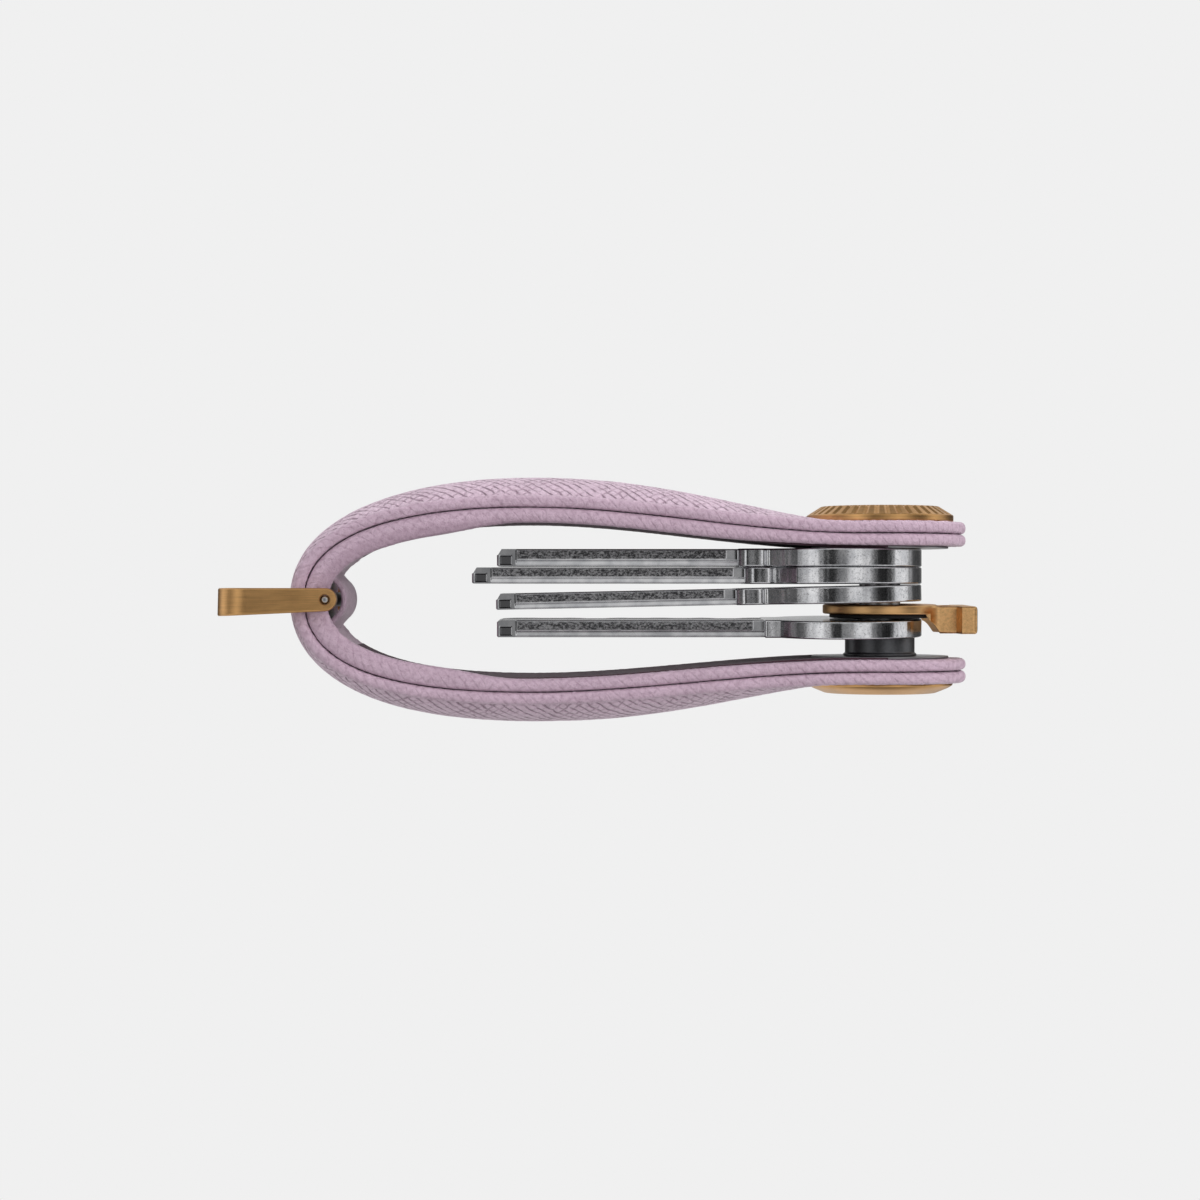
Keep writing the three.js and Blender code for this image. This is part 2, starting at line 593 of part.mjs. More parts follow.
// The tab: eye and arm from above, cut to its stepped outline from the side.
function tabSolid() {
  const barStart = TAB_REACH - TAB_BAR;
  const plan = new THREE.Shape();
  plan.moveTo(0, -TAB_ARM_HALF);
  plan.lineTo(barStart - 0.6, -TAB_ARM_HALF);
  plan.quadraticCurveTo(barStart, -TAB_ARM_HALF, barStart, -TAB_ARM_HALF - 0.6);
  plan.lineTo(barStart, -TAB_BAR_HALF + 0.3);
  plan.quadraticCurveTo(barStart, -TAB_BAR_HALF, barStart + 0.3, -TAB_BAR_HALF);
  plan.lineTo(TAB_REACH - 0.6, -TAB_BAR_HALF);
  plan.quadraticCurveTo(TAB_REACH, -TAB_BAR_HALF, TAB_REACH, -TAB_BAR_HALF + 0.6);
  plan.lineTo(TAB_REACH, TAB_BAR_HALF - 0.6);
  plan.quadraticCurveTo(TAB_REACH, TAB_BAR_HALF, TAB_REACH - 0.6, TAB_BAR_HALF);
  plan.lineTo(barStart + 0.3, TAB_BAR_HALF);
  plan.quadraticCurveTo(barStart, TAB_BAR_HALF, barStart, TAB_BAR_HALF - 0.3);
  plan.lineTo(barStart, TAB_ARM_HALF + 0.6);
  plan.quadraticCurveTo(barStart, TAB_ARM_HALF, barStart - 0.6, TAB_ARM_HALF);
  plan.lineTo(0, TAB_ARM_HALF);
  const barTop = TAB_THICK - TAB_BAR_DROP;
  const barLow = barTop - TAB_BAR_HEIGHT;
  const side = new THREE.Shape();
  side.moveTo(0, TAB_THICK);
  side.lineTo(WASHER_R - 0.6, TAB_THICK);
  side.lineTo(WASHER_R + 0.9, barTop);
  side.lineTo(TAB_REACH - 0.3, barTop);
  side.quadraticCurveTo(TAB_REACH, barTop, TAB_REACH, barTop - 0.3);
  side.lineTo(TAB_REACH, barLow + 0.3);
  side.quadraticCurveTo(TAB_REACH, barLow, TAB_REACH - 0.3, barLow);
  side.lineTo(0, barLow);
  const pocketR = WASHER_R + TAB_POCKET_CLEAR;
  const pocket = turned([[0, barLow - 1], [pocketR + TAB_POCKET_RUN, barLow - 1], [pocketR, 0], [0, 0]]);
  const profile = wall(side, TAB_BAR_HALF + 3, 4).subtract(pocket);
  const arm = slab(plan, barLow - 1, 2 * TAB_THICK, 8).intersect(profile);
  const body = arm.add(disc(TAB_R, 0, TAB_THICK));
  const slotEnd = barStart - 0.15;
  const slotStart = slotEnd - TAB_SLOT_WIDTH;
  const slot = roundedBox(slotStart, -TAB_SLOT_HALF, slotEnd, TAB_SLOT_HALF, TAB_SLOT_WIDTH / 2);
  const holes = slab(slot, barLow - 1, 2 * TAB_THICK, 6).add(disc(KEY_HOLE_R, -9, 9, 24));
  return body.subtract(holes);
}

// ---------------------------------------------------------------- shackle end

function shacklePieces() {
  const inside = HALF_WIDTH + SHACKLE_CLEAR;
  const outside = inside + SHACKLE_BAND;
  const far = PIN_X - SHACKLE_REACH;
  const back = PIN_X + 2 * SHACKLE_EYE_R;
  const outer = slab(roundedBox(far, -outside, back + 9, outside, SHACKLE_CORNER), 0, 2 * MID_Z, 8);
  const cornerInside = SHACKLE_CORNER - SHACKLE_BAND;
  const hollow = roundedBox(far + SHACKLE_BAND, -inside, back + 9, inside, cornerInside);
  const taper = Math.asin((SHACKLE_BAR_HALF - SHACKLE_EYE_R) / SHACKLE_REACH);
  const side = new THREE.Shape();
  side.moveTo(far, MID_Z + SHACKLE_BAR_HALF);
  side.lineTo(far, MID_Z - SHACKLE_BAR_HALF);
  side.absarc(PIN_X, MID_Z, SHACKLE_EYE_R, -Math.PI / 2 - taper, Math.PI / 2 + taper);
  const eye = new THREE.CylinderGeometry(PIN_R + PIN_FIT, PIN_R + PIN_FIT, 3 * STRAP_WIDTH, 20);
  const band = outer
    .subtract(slab(hollow, 0, 2 * MID_Z, 8))
    .intersect(wall(side, 2 * STRAP_WIDTH))
    .subtract(toSolid(eye.translate(PIN_X, 0, MID_Z)));
  const pinLength = 2 * (outside - 0.25);
  const pin = new THREE.CylinderGeometry(PIN_R, PIN_R, pinLength, 20).translate(PIN_X, 0, MID_Z);
  return [
    ["shackle", band, "brass"],
    ["shackle_pin", toSolid(pin), "steel"],
  ];
}

// A tube along Y round the pin axis.
function sideTube(outer, bore, halfLength, segments = 24) {
  const tube = new THREE.LatheGeometry(
    [[bore, -halfLength], [outer, -halfLength], [outer, halfLength], [bore, halfLength], [bore, -halfLength]]
      .map(([r, y]) => new THREE.Vector2(r, y)),
    segments,
  );
  return toSolid(tube.translate(PIN_X, 0, MID_Z));
}

// The keeper: a leather band that bulges over the pin, with a foot above and below on the inner layer.
function keeperSolid() {
  const outer = KEEPER_BORE_R + KEEPER_WALL;
  const faceX = BEND_X + INNER_AT_BEND + FIT;
  const band = sideTube(outer, KEEPER_BORE_R, KEEPER_HALF, 40);
  const meet = rad(KEEPER_MEET);
  const foot = new THREE.Shape();
  foot.moveTo(faceX - 1, MID_Z - outer - KEEPER_FOOT);
  foot.quadraticCurveTo(
    faceX + 0.5,
    MID_Z - outer - 0.3,
    PIN_X + outer * Math.cos(meet),
    MID_Z - outer * Math.sin(meet),
  );
  foot.lineTo(PIN_X + outer * Math.cos(meet), MID_Z + outer * Math.sin(meet));
  foot.quadraticCurveTo(faceX + 0.5, MID_Z + outer + 0.3, faceX - 1, MID_Z + outer + KEEPER_FOOT);
  const feet = wall(foot, KEEPER_HALF, 6).subtract(sideTube(KEEPER_BORE_R, 0, KEEPER_HALF + 1, 40));
  return band.add(feet);
}

// The strap's inner layer, thickened a little, which the keeper is trimmed to.
function innerLayerRoom(side) {
  const room = (x) => {
    const face = -innerEdgeAt(x) - FIT;
    return [[HALF_WIDTH, 3], [HALF_WIDTH, face], [-HALF_WIDTH, face], [-HALF_WIDTH, 3]];
  };
  return sweep(side, LIMB_STOPS.filter((u) => u > 0.6), room);
}

// ---------------------------------------------------------------- assembly

const FINISHES = {
  leather: { color: 0xc9b3c6, roughness: 0.62, metalness: 0 },
  lining: { color: 0x54424c, roughness: 0.95, metalness: 0 },
  foam: { color: 0x4a4a4c, roughness: 0.95, metalness: 0 },
  spring: { color: 0x8a8d90, roughness: 0.4, metalness: 1 },
  steel: { color: 0xa9abad, roughness: 0.3, metalness: 1 },
  brass: { color: 0xb98a4e, roughness: 0.35, metalness: 1 },
  nylon: { color: 0x303134, roughness: 0.45, metalness: 0 },
  rubber: { color: 0x101011, roughness: 0.8, metalness: 0 },
};

const organiser = new THREE.Group();
organiser.position.x = POST_X;

function place(parent, [name, solid, finish]) {
  const mesh = new THREE.Mesh(toGeometry(solid), new THREE.MeshStandardMaterial(FINISHES[finish]));
  mesh.name = name;
  parent.add(mesh);
  return mesh;
}

// A piece on the post that tips: roll lowers its near side, and lean lowers the side away from the tip.
function tipped(z, roll, lean) {
  const group = new THREE.Group();
  group.position.z = z;
  group.rotation.set(rad(roll), rad(-lean), 0);
  organiser.add(group);
  return group;
}

for (const side of [1, -1]) strapPieces(side).forEach((piece) => place(organiser, piece));

const clamp = clampPieces();
[...clamp.fixed, ...clamp.lifting, ...screwPieces(), ...shacklePieces()].forEach((piece) =>
  place(organiser, piece),
);
place(organiser, ["pin_sleeve", sideTube(SLEEVE_R, SLEEVE_BORE_R, SLEEVE_HALF), "nylon"]);
const keeper = keeperSolid().subtract(innerLayerRoom(1)).subtract(innerLayerRoom(-1));
place(organiser, ["pin_keeper", keeper, "leather"]);

KEYS.forEach((key, index) => {
  place(tipped(key.z, key.roll, key.lean), [key.name, keySolid(key, index), "steel"]);
});
place(tipped(washerZ, TAB_ROLL, 0), ["friction_washer", ring(WASHER_R, POST_R + 0.25, 0, WASHER), "rubber"]);
place(tipped(tabZ, TAB_ROLL, 0), ["fob_tab", tabSolid(), "brass"]);

export default organiser;
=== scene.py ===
# %% [markdown]
# # A key organiser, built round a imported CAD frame
#
# The object is a padded leather strap, bent into a loop and clamped at its open end by a brass screw.
# Four keys and a brass tab turn on the post between the two strap ends, and a brass shackle swings at the
# bend. The CAD frame holds every size and every joint. This lesson gives each piece its fine surface and
# its finish. We work in millimetres, because the pieces are small, and change to metres once, when a mesh
# is made.

# %% Load the frame and take its places
import math

import bmesh
import bpy
import numpy as np
from mathutils import Matrix, Vector


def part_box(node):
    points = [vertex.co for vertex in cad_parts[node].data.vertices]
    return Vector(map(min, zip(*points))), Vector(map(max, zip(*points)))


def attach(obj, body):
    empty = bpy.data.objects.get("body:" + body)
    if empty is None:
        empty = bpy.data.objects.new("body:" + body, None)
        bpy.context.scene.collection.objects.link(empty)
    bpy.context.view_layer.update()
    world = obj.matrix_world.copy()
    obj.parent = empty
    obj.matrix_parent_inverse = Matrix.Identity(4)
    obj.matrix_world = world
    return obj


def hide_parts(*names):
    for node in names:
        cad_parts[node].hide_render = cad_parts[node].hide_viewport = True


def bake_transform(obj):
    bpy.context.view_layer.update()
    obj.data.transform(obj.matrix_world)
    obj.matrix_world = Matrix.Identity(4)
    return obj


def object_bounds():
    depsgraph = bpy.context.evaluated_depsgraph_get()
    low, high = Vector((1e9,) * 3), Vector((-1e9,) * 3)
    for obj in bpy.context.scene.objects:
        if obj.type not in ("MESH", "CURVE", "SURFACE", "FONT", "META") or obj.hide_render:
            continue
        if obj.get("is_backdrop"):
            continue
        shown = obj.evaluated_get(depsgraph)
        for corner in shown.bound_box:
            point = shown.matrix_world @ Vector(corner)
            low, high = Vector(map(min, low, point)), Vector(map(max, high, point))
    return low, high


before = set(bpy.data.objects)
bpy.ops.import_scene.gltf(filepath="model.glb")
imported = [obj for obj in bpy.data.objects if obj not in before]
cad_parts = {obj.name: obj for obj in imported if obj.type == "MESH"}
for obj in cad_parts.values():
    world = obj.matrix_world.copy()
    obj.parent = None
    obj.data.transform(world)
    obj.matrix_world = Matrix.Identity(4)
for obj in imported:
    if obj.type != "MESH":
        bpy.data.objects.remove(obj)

MM = 0.001
CAD_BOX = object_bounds()


def box_mm(node):
    """The lowest and highest corners of a CAD node, in millimetres."""
    low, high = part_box(node)
    return np.array(low) / MM, np.array(high) / MM


POST_X = float(np.mean([corner[0] for corner in box_mm("post")]))
PIN_X = float(np.mean([corner[0] for corner in box_mm("shackle_pin")]))
MID_Z = float(np.mean([corner[2] for corner in box_mm("shackle_pin")]))
print(f"post axis at x = {POST_X:.2f}, pin axis at x = {PIN_X:.2f}, middle plane at z = {MID_Z:.2f} mm")

# %% [markdown]
# ## From arrays to a mesh
#
# Almost every piece here is a grid: a rule that gives a point for each pair of numbers (row, column).
# Numpy works out all the points at once, and the faces are the grid's cells. A grid can close on itself
# in either direction, which is how a ring or a tube is made. Rows that shrink to one point are merged
# afterwards.

# %% Grid and mesh helpers
def cells(rows, columns, wrap_rows=False, wrap_columns=False):
    """One quad per grid cell: (i, j), (i+1, j), (i+1, j+1), (i, j+1), with the last row or column
    joined to the first where the grid wraps."""
    i = np.arange(rows if wrap_rows else rows - 1)[:, None]
    j = np.arange(columns if wrap_columns else columns - 1)[None, :]
    i2 = (i + 1) % rows
    j2 = (j + 1) % columns
    corners = [i * columns + j, i2 * columns + j, i2 * columns + j2, i * columns + j2]
    return np.stack(corners, -1).reshape(-1, 4)


def capped(rows):
    """Adds a row before the first and one after the last, each shrunk to its neighbour's mean point, so
    that a tube's two ends close."""
    first = rows[:1].mean(1, keepdims=True) + 0 * rows[:1]
    last = rows[-1:].mean(1, keepdims=True) + 0 * rows[-1:]
    return np.concatenate([first, rows, last])


def raw_mesh(name, points, faces):
    """A mesh from points in millimetres and an array of quads."""
    mesh = bpy.data.meshes.new(name)
    mesh.from_pydata((np.asarray(points).reshape(-1, 3) * MM).tolist(), [], np.asarray(faces).tolist())
    return mesh


def tidy_mesh(mesh, weld=0.002, sharp=32):
    """Welds points closer than weld millimetres, turns the faces outwards, and marks edges sharper than
    sharp degrees."""
    work = bmesh.new()
    work.from_mesh(mesh)
    bmesh.ops.remove_doubles(work, verts=work.verts, dist=weld * MM)
    bmesh.ops.dissolve_degenerate(work, edges=work.edges, dist=weld * MM / 10)
    bmesh.ops.recalc_face_normals(work, faces=work.faces)
    if work.calc_volume(signed=True) < 0:
        bmesh.ops.reverse_faces(work, faces=work.faces)
    open_edges = sum(1 for edge in work.edges if len(edge.link_faces) != 2)
    work.to_mesh(mesh)
    work.free()
    mesh.shade_smooth()
    mesh.set_sharp_from_angle(angle=math.radians(sharp))
    return open_edges


def solid(name, points, faces, attributes=None, weld=0.002, sharp=32):
    """An object from a closed grid. attributes maps a name to one 3-vector per point, for materials to
    read."""
    mesh = raw_mesh(name, points, faces)
    for label, values in (attributes or {}).items():
        layer = mesh.attributes.new(label, "FLOAT_VECTOR", "POINT")
        layer.data.foreach_set("vector", np.asarray(values, np.float32).reshape(-1))
    open_edges = tidy_mesh(mesh, weld, sharp)
    made = bpy.data.objects.new(name, mesh)
    bpy.context.scene.collection.objects.link(made)
    if open_edges and name != "floor":
        print(f"  {name}: {open_edges} open edges")
    return made


def combine(target, tool, operation="DIFFERENCE", sharp=32):
    """Cuts tool out of target, or joins it on, and removes tool."""
    step = target.modifiers.new("combine", "BOOLEAN")
    step.operation = operation
    step.solver = "EXACT"
    step.object = tool
    graph = bpy.context.evaluated_depsgraph_get()
    made = bpy.data.meshes.new_from_object(target.evaluated_get(graph))
    target.modifiers.clear()
    spent = target.data
    target.data = made
    made.name = target.name
    bpy.data.meshes.remove(spent)
    spent = tool.data
    bpy.data.objects.remove(tool)
    bpy.data.meshes.remove(spent)
    made.shade_smooth()
    made.set_sharp_from_angle(angle=math.radians(sharp))
    return target


def finish_piece(piece, body, slot, material, *nodes):
    """Gives a piece its material, its body, and the CAD nodes it stands for; slot is not used. A pair of
    bodies means that the piece spans them, and it is only baked in place."""
    piece.data.materials.clear()
    piece.data.materials.append(material)
    if isinstance(body, tuple):
        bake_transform(piece)
    else:
        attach(piece, body)
    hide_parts(*nodes)
    triangles = sum(len(face.vertices) - 2 for face in piece.data.polygons)
    print(f"{piece.name}: {triangles} triangles")
    return piece


# %% [markdown]
# ## Round corners for profiles
#
# No real edge is perfectly sharp, and the thin bright line on a small radius is much of what makes metal
# look like metal. So a profile is given by its few corners, and each corner is replaced by a short curve.

# %% Profiles with rounded corners
def eased(corners, radius=0.12, steps=5, closed=False):
    """Replaces each corner by a quadratic curve: (1-t)^2 A + 2t(1-t) C + t^2 B, where C is the corner
    and A and B lie one radius away from it along its two sides. radius may be one number or one per
    corner."""
    corners = np.asarray(corners, float)
    count = len(corners)
    radii = np.broadcast_to(radius, count)
    t = np.linspace(0, 1, steps + 1)[:, None]
    out = []
    for k, here in enumerate(corners):
        if not closed and k in (0, count - 1) or radii[k] == 0:
            out.append(here[None])
            continue
        before = corners[k - 1] - here
        after = corners[(k + 1) % count] - here
        lengths = [np.linalg.norm(side) for side in (before, after)]
        reach = [min(radii[k], 0.45 * length) / length for length in lengths]
        start = here + before * reach[0]
        end = here + after * reach[1]
        out.append((1 - t) ** 2 * start + 2 * t * (1 - t) * here + t**2 * end)
    return np.concatenate(out)


def lathe(name, profile, x=POST_X, y=0.0, segments=128, place=None, shape=None):
    """Turns a profile of (radius, height) about a vertical axis: x + r cos a, y + r sin a, z. shape(r,
    z, a) may return changed r and z, and place may tip the finished points."""
    profile = np.asarray(profile, float)
    angle = np.linspace(0, 2 * np.pi, segments, endpoint=False)[:, None]
    r = np.broadcast_to(profile[None, :, 0], (segments, len(profile)))
    z = np.broadcast_to(profile[None, :, 1], r.shape)
    if shape:
        r, z = shape(r, z, angle)
    points = np.stack([r * np.cos(angle), r * np.sin(angle), z], -1)
    points = place(points) if place else points + (x, y, 0)
    on_axis = profile[0, 0] == 0
    return solid(name, points, cells(segments, len(profile), wrap_rows=True, wrap_columns=not on_axis))


def rounded_ring(corner_steps, flat_fill=0, side_fill=0):
    """The section of a strip with four round corners, as one ring of rows: side, cos, level, sin. A
    point lies at side (half width - r) + r cos across and level (half height - r) + r sin up, where
    side and level run from -1 to 1. flat_fill and side_fill add points along the straight stretches."""
    quarter = np.linspace(0, np.pi / 2, corner_steps)
    rows = []
    for k, (side, level) in enumerate([(1, 1), (-1, 1), (-1, -1), (1, -1)]):
        turn = quarter + k * np.pi / 2
        same = np.ones(corner_steps)
        rows.append(np.stack([side * same, np.cos(turn), level * same, np.sin(turn)]))
        count = (flat_fill, side_fill)[k % 2]
        fill = np.linspace(1, -1, count + 2)[1:-1]
        same = np.ones(count)
        if k % 2 == 0:
            rows.append(np.stack([side * fill, 0 * fill, level * same, level * same]))
        else:
            rows.append(np.stack([side * same, side * same, level * fill, 0 * fill]))
    return np.concatenate(rows, 1)[:, None, :]


# %% [markdown]
# ## Finding how a piece sits on the post
#
# The keys sit slack on the post and tip by a degree or so. Each CAD node already says how: the points
# round its hole lie in one plane, and a least-squares fit gives that plane's height and slope.

# %% The plane of a piece on the post
HOLE_R = 2.85


def seat(node):
    """Fits z = a + bx + cy through the lower ring of a hole. Returns the rule that carries a piece's
    own coordinates into the frame, the rule that carries them back, and the piece's thickness. The
    plane's two directions and its normal are the piece's axes."""
    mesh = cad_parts[node].data
    points = np.empty(len(mesh.vertices) * 3)
    mesh.vertices.foreach_get("co", points)
    points = points.reshape(-1, 3) / MM - (POST_X, 0, 0)
    ring = points[np.hypot(points[:, 0], points[:, 1]) < 2.95]
    sheet = np.c_[np.ones(len(ring)), ring[:, :2]]
    middle = np.linalg.lstsq(sheet, ring[:, 2], rcond=None)[0]
    lower = ring[ring[:, 2] < sheet @ middle]
    a, b, c = np.linalg.lstsq(np.c_[np.ones(len(lower)), lower[:, :2]], lower[:, 2], rcond=None)[0]
    normal = np.array([-b, -c, 1]) / np.linalg.norm([b, c, 1])
    along = np.array([1, 0, b]) / np.hypot(1, b)
    across = np.cross(normal, along)
    along = np.cross(across, normal)
    axes = np.stack([along, across, normal])
    thick = 2 * (middle[0] - a)
    tips = math.degrees(b), math.degrees(c)
    print(f"{node}: height {a:.3f}, thickness {thick:.2f}, tip {tips[0]:.2f} and {tips[1]:.2f} degrees")
    start = (POST_X, 0, a)

    def place(points):
        """From the piece's own coordinates into the frame."""
        return np.asarray(points) @ axes + start

    def back(points):
        """From the frame into the piece's own coordinates."""
        return (points - start) @ axes.T

    return place, back, thick


# %% [markdown]
# ## The strap's line
#
# The strap's two leather layers meet at a seam. Seen from the side, that seam is the strap's line: straight
# over the post, up to a crest, and round the bend. Two cubic curves draw each limb. We sample the line
# densely, measure the length along it, and then any distance along the strap can be looked up.

# %% Strap sizes
HALF_WIDTH = float(box_mm("outer_leather_upper")[1][1])
EDGE = 1.4
BEND_X = PIN_X - 2.55
CREST_HALF = 10.55
CREST_X = POST_X - 41
END_FLAT = 3.0
SEAM_LOW = float(box_mm("lower_plate")[0][2]) - 0.05 - EDGE
SEAM_HIGH = float(box_mm("upper_plate")[1][2]) + 0.05 + EDGE
CREST_ROUND = 15.0
CROWN = 2.3
CROWN_AT_BEND = 0.9


def cubic(a, b, c, d, count=400):
    """A cubic curve through control points a, b, c, d: the usual (1-t)^3, 3t(1-t)^2, 3t^2(1-t), t^3
    weights."""
    t = np.linspace(0, 1, count)[:, None]
    a, b, c, d = (np.asarray(p, float) for p in (a, b, c, d))
    return (1 - t) ** 3 * a + 3 * t * (1 - t) ** 2 * b + 3 * t**2 * (1 - t) * c + t**3 * d


def limb(side, seam, bend_round):
    """One limb's seam from the strap's tip to the bend. side is 1 above the middle plane and -1 below."""
    flat = POST_X - END_FLAT
    third = (flat - CREST_X) / 3
    crest = MID_Z + side * CREST_HALF
    straight = np.linspace((POST_X + HALF_WIDTH + 1, seam), (flat, seam), 200)
    rise = cubic((flat, seam), (flat - third, seam), (CREST_X + third, crest), (CREST_X, crest))
    bend = (BEND_X, MID_Z + side * bend_round)
    turn = cubic((CREST_X, crest), (CREST_X - CREST_ROUND, crest), bend, (BEND_X, MID_Z))
    return np.concatenate([straight[:-1], rise[:-1], turn])


upper_limb = limb(1, SEAM_HIGH, 7.5)
lower_limb = limb(-1, SEAM_LOW, 8.1)
LINE = np.concatenate([upper_limb[:-1], lower_limb[::-1]])
LINE_S = np.r_[0, np.cumsum(np.hypot(*np.diff(LINE, axis=0).T))]
LINE_S -= HALF_WIDTH + 1
STRAP_S = LINE_S[-1] - HALF_WIDTH - 1
BEND_S = float(LINE_S[len(upper_limb) - 1])
slope = np.gradient(LINE, LINE_S, axis=0)
slope /= np.linalg.norm(slope, axis=1, keepdims=True)
print(f"seam length between the two post holes: {STRAP_S:.1f} mm, bend at {BEND_S:.1f} mm")


def on_strap(s, across, out):
    """The point at distance s along the seam, across its width, and out from it along its outward
    normal."""
    x, z = (np.interp(s, LINE_S, column) for column in LINE.T)
    tx, tz = (np.interp(s, LINE_S, column) for column in slope.T)
    length = np.hypot(tx, tz)
    x = x + out * tz / length
    z = z - out * tx / length
    return np.stack([x, np.broadcast_to(across, x.shape), z], -1)


def smooth(t):
    """Eases from 0 to 1: 3t^2 - 2t^3, held flat outside 0 and 1."""
    t = np.clip(t, 0, 1)
    return t * t * (3 - 2 * t)


def crown_at(s):
    """The padding's height over the strap's rolled edge: a quarter sine from the knob to full height,
    then a fall with the square of the way from the crest to the bend."""
    x = np.interp(s, LINE_S, LINE[:, 0]) - POST_X
    rise = np.sin(np.clip((-6 - x) / 28, 0, 1) * np.pi / 2)
    towards_bend = np.clip((CREST_X - POST_X - x) / (CREST_X - BEND_X), 0, 1)
    return rise * (CROWN + (CROWN_AT_BEND - CROWN) * towards_bend**2)


# %% [markdown]
# ## Grain in the leather
#
# The leather is embossed with a cross-hatch: two sets of fine slanting grooves about a millimetre apart.
# The deeper part of it is real shape here, a shallow wave pressed into the surface, and the crisp part is
# bump in the material. Both read the same numbers, the distances along and across the strap, so that they
# lie on each other.

# %% Emboss and wander
HATCH = 1.2
HATCH_LEAN = 0.85


def wander(s, v, scale, seed):
    """A smooth made-up wobble between -1 and 1: six sine waves of different directions added together."""
    random = np.random.default_rng(seed)
    total = np.zeros(np.broadcast(s, v).shape)
    for _ in range(6):
        turn, phase, pace = random.uniform(0, 2 * np.pi, 2).tolist() + [random.uniform(0.6, 1.6)]
        total = total + np.sin((s * np.cos(turn) + v * np.sin(turn)) * pace / scale + phase)
    return total / 6


def emboss(s, v):
    """The pressed pattern, 0 on the lands and 1 in the grooves: each set of grooves is a cosine raised
    to a power, on the coordinate s + lean v, and the two sets are added and held to 1."""
    s = s + 0.12 * wander(s, v, 1.4, 3)
    grooves = 0
    for direction, share in ((-1, 1.0), (1, 0.45)):
        phase = (s + direction * HATCH_LEAN * v) / HATCH
        grooves = grooves + share * (0.5 + 0.5 * np.cos(2 * np.pi * phase)) ** 4
    return np.minimum(grooves, 1)


# %% [markdown]
# ## Rings round a strap
#
# Seen flat, the strap is a long shape with half-round ends. We walk round its outline, and from each
# outline point go inwards to the centre line. So the rolled edge always lies square to the outline, even
# round the ends, and the same rule makes the outer layer and the inner layer.

# %% A strap layer from its profile
def outline_walk(start, end, step, end_steps):
    """Walks the flat outline once: up one side, round one end, back along the other side, round the
    other end. Returns for each station the point on the centre line and the outward direction, in strap
    coordinates."""
    count = int(round((end - start) / step))
    along = np.linspace(start, end, count)
    turn = np.linspace(np.pi / 2, -np.pi / 2, end_steps)[1:-1]
    base = np.r_[along, np.full(len(turn), end), along[::-1], np.full(len(turn), start)]
    direction_s = np.r_[np.zeros(count), np.cos(turn), np.zeros(count), -np.cos(turn)]
    direction_v = np.r_[np.ones(count), np.sin(turn), -np.ones(count), -np.sin(turn)]
    return base, direction_s, direction_v


def strap_layer(name, walk, profile, relief):
    """A closed layer: profile(base) gives, for each station, the distances from the centre line and the
    heights over the seam of one section from the centre of the top, round the edge, to the centre of
    the underside. The pattern needs lengths measured on the leather itself, so the section's own length
    is added up (its girth)."""
    base, direction_s, direction_v = (column[:, None] for column in walk)
    reach, out = profile(base, direction_v)
    girth = np.hypot(np.diff(reach, axis=1), np.diff(out, axis=1))
    girth = np.concatenate([np.zeros((len(base), 1)), np.cumsum(girth, 1)], 1)
    along = base + direction_s * girth
    over = direction_v * girth
    bump, strength = relief(along, over, reach, out)
    out = out + bump
    points = on_strap(base + direction_s * reach, direction_v * reach, out)
    flow = np.stack([along, over, np.broadcast_to(strength, along.shape)], -1)
    return solid(name, points, cells(*along.shape, wrap_rows=True), {"strap_mm": flow}, weld=0.004, sharp=60)


def roll(count, low, high, edge, fat=2.3):
    """Half a fat ellipse for a turned edge, from (edge - depth, high) out to edge and back to low. Its
    exponent above 2 makes it fuller than a circle."""
    turn = np.linspace(np.pi / 2, -np.pi / 2, count)
    half = (high - low) / 2
    across = half * np.abs(np.cos(turn)) ** (2 / fat)
    up = half * np.sign(np.sin(turn)) * np.abs(np.sin(turn)) ** (2 / fat)
    return edge - half + across, (high + low) / 2 + up


ROLL_STEPS = 22
SEAM_HALF = 0.05
PILLOW = 3.2
SKIN = 0.9


def pillow(reach):
    """The crown's shape across the strap, 1 at the centre and 0 where it meets the rolled edge: 1 -
    (reach / edge)^p, so it is flat in the middle and steep at the side."""
    return 1 - np.clip(reach / (HALF_WIDTH - 0.75), 0, 1) ** PILLOW


def outer_profile(base, side):
    """Top of the crown, a shallow valley, the turned edge, the seam side, and the hollow that holds the
    pad."""
    crown = crown_at(base)
    top = np.linspace(0, HALF_WIDTH - 0.75, 40)
    edge, lift = roll(ROLL_STEPS, SEAM_HALF, EDGE + 0.02, HALF_WIDTH)
    flat = np.array([HALF_WIDTH - 1.2, HALF_WIDTH - 2])
    hollow = np.linspace(HALF_WIDTH - 2, 0, 14)
    reach = np.r_[top, edge, flat, hollow]
    valley = 0.07 * np.exp(-(((top - HALF_WIDTH + 0.8) / 0.28) ** 2))
    heights = [
        EDGE + crown * pillow(top) - valley,
        np.broadcast_to(lift, (len(base), len(lift))),
        np.full((len(base), 2), SEAM_HALF),
        EDGE - SKIN + crown * pillow(hollow) * (hollow < HALF_WIDTH - 2.05),
    ]
    return np.broadcast_to(reach, (len(base), len(reach))), np.concatenate(heights, 1)


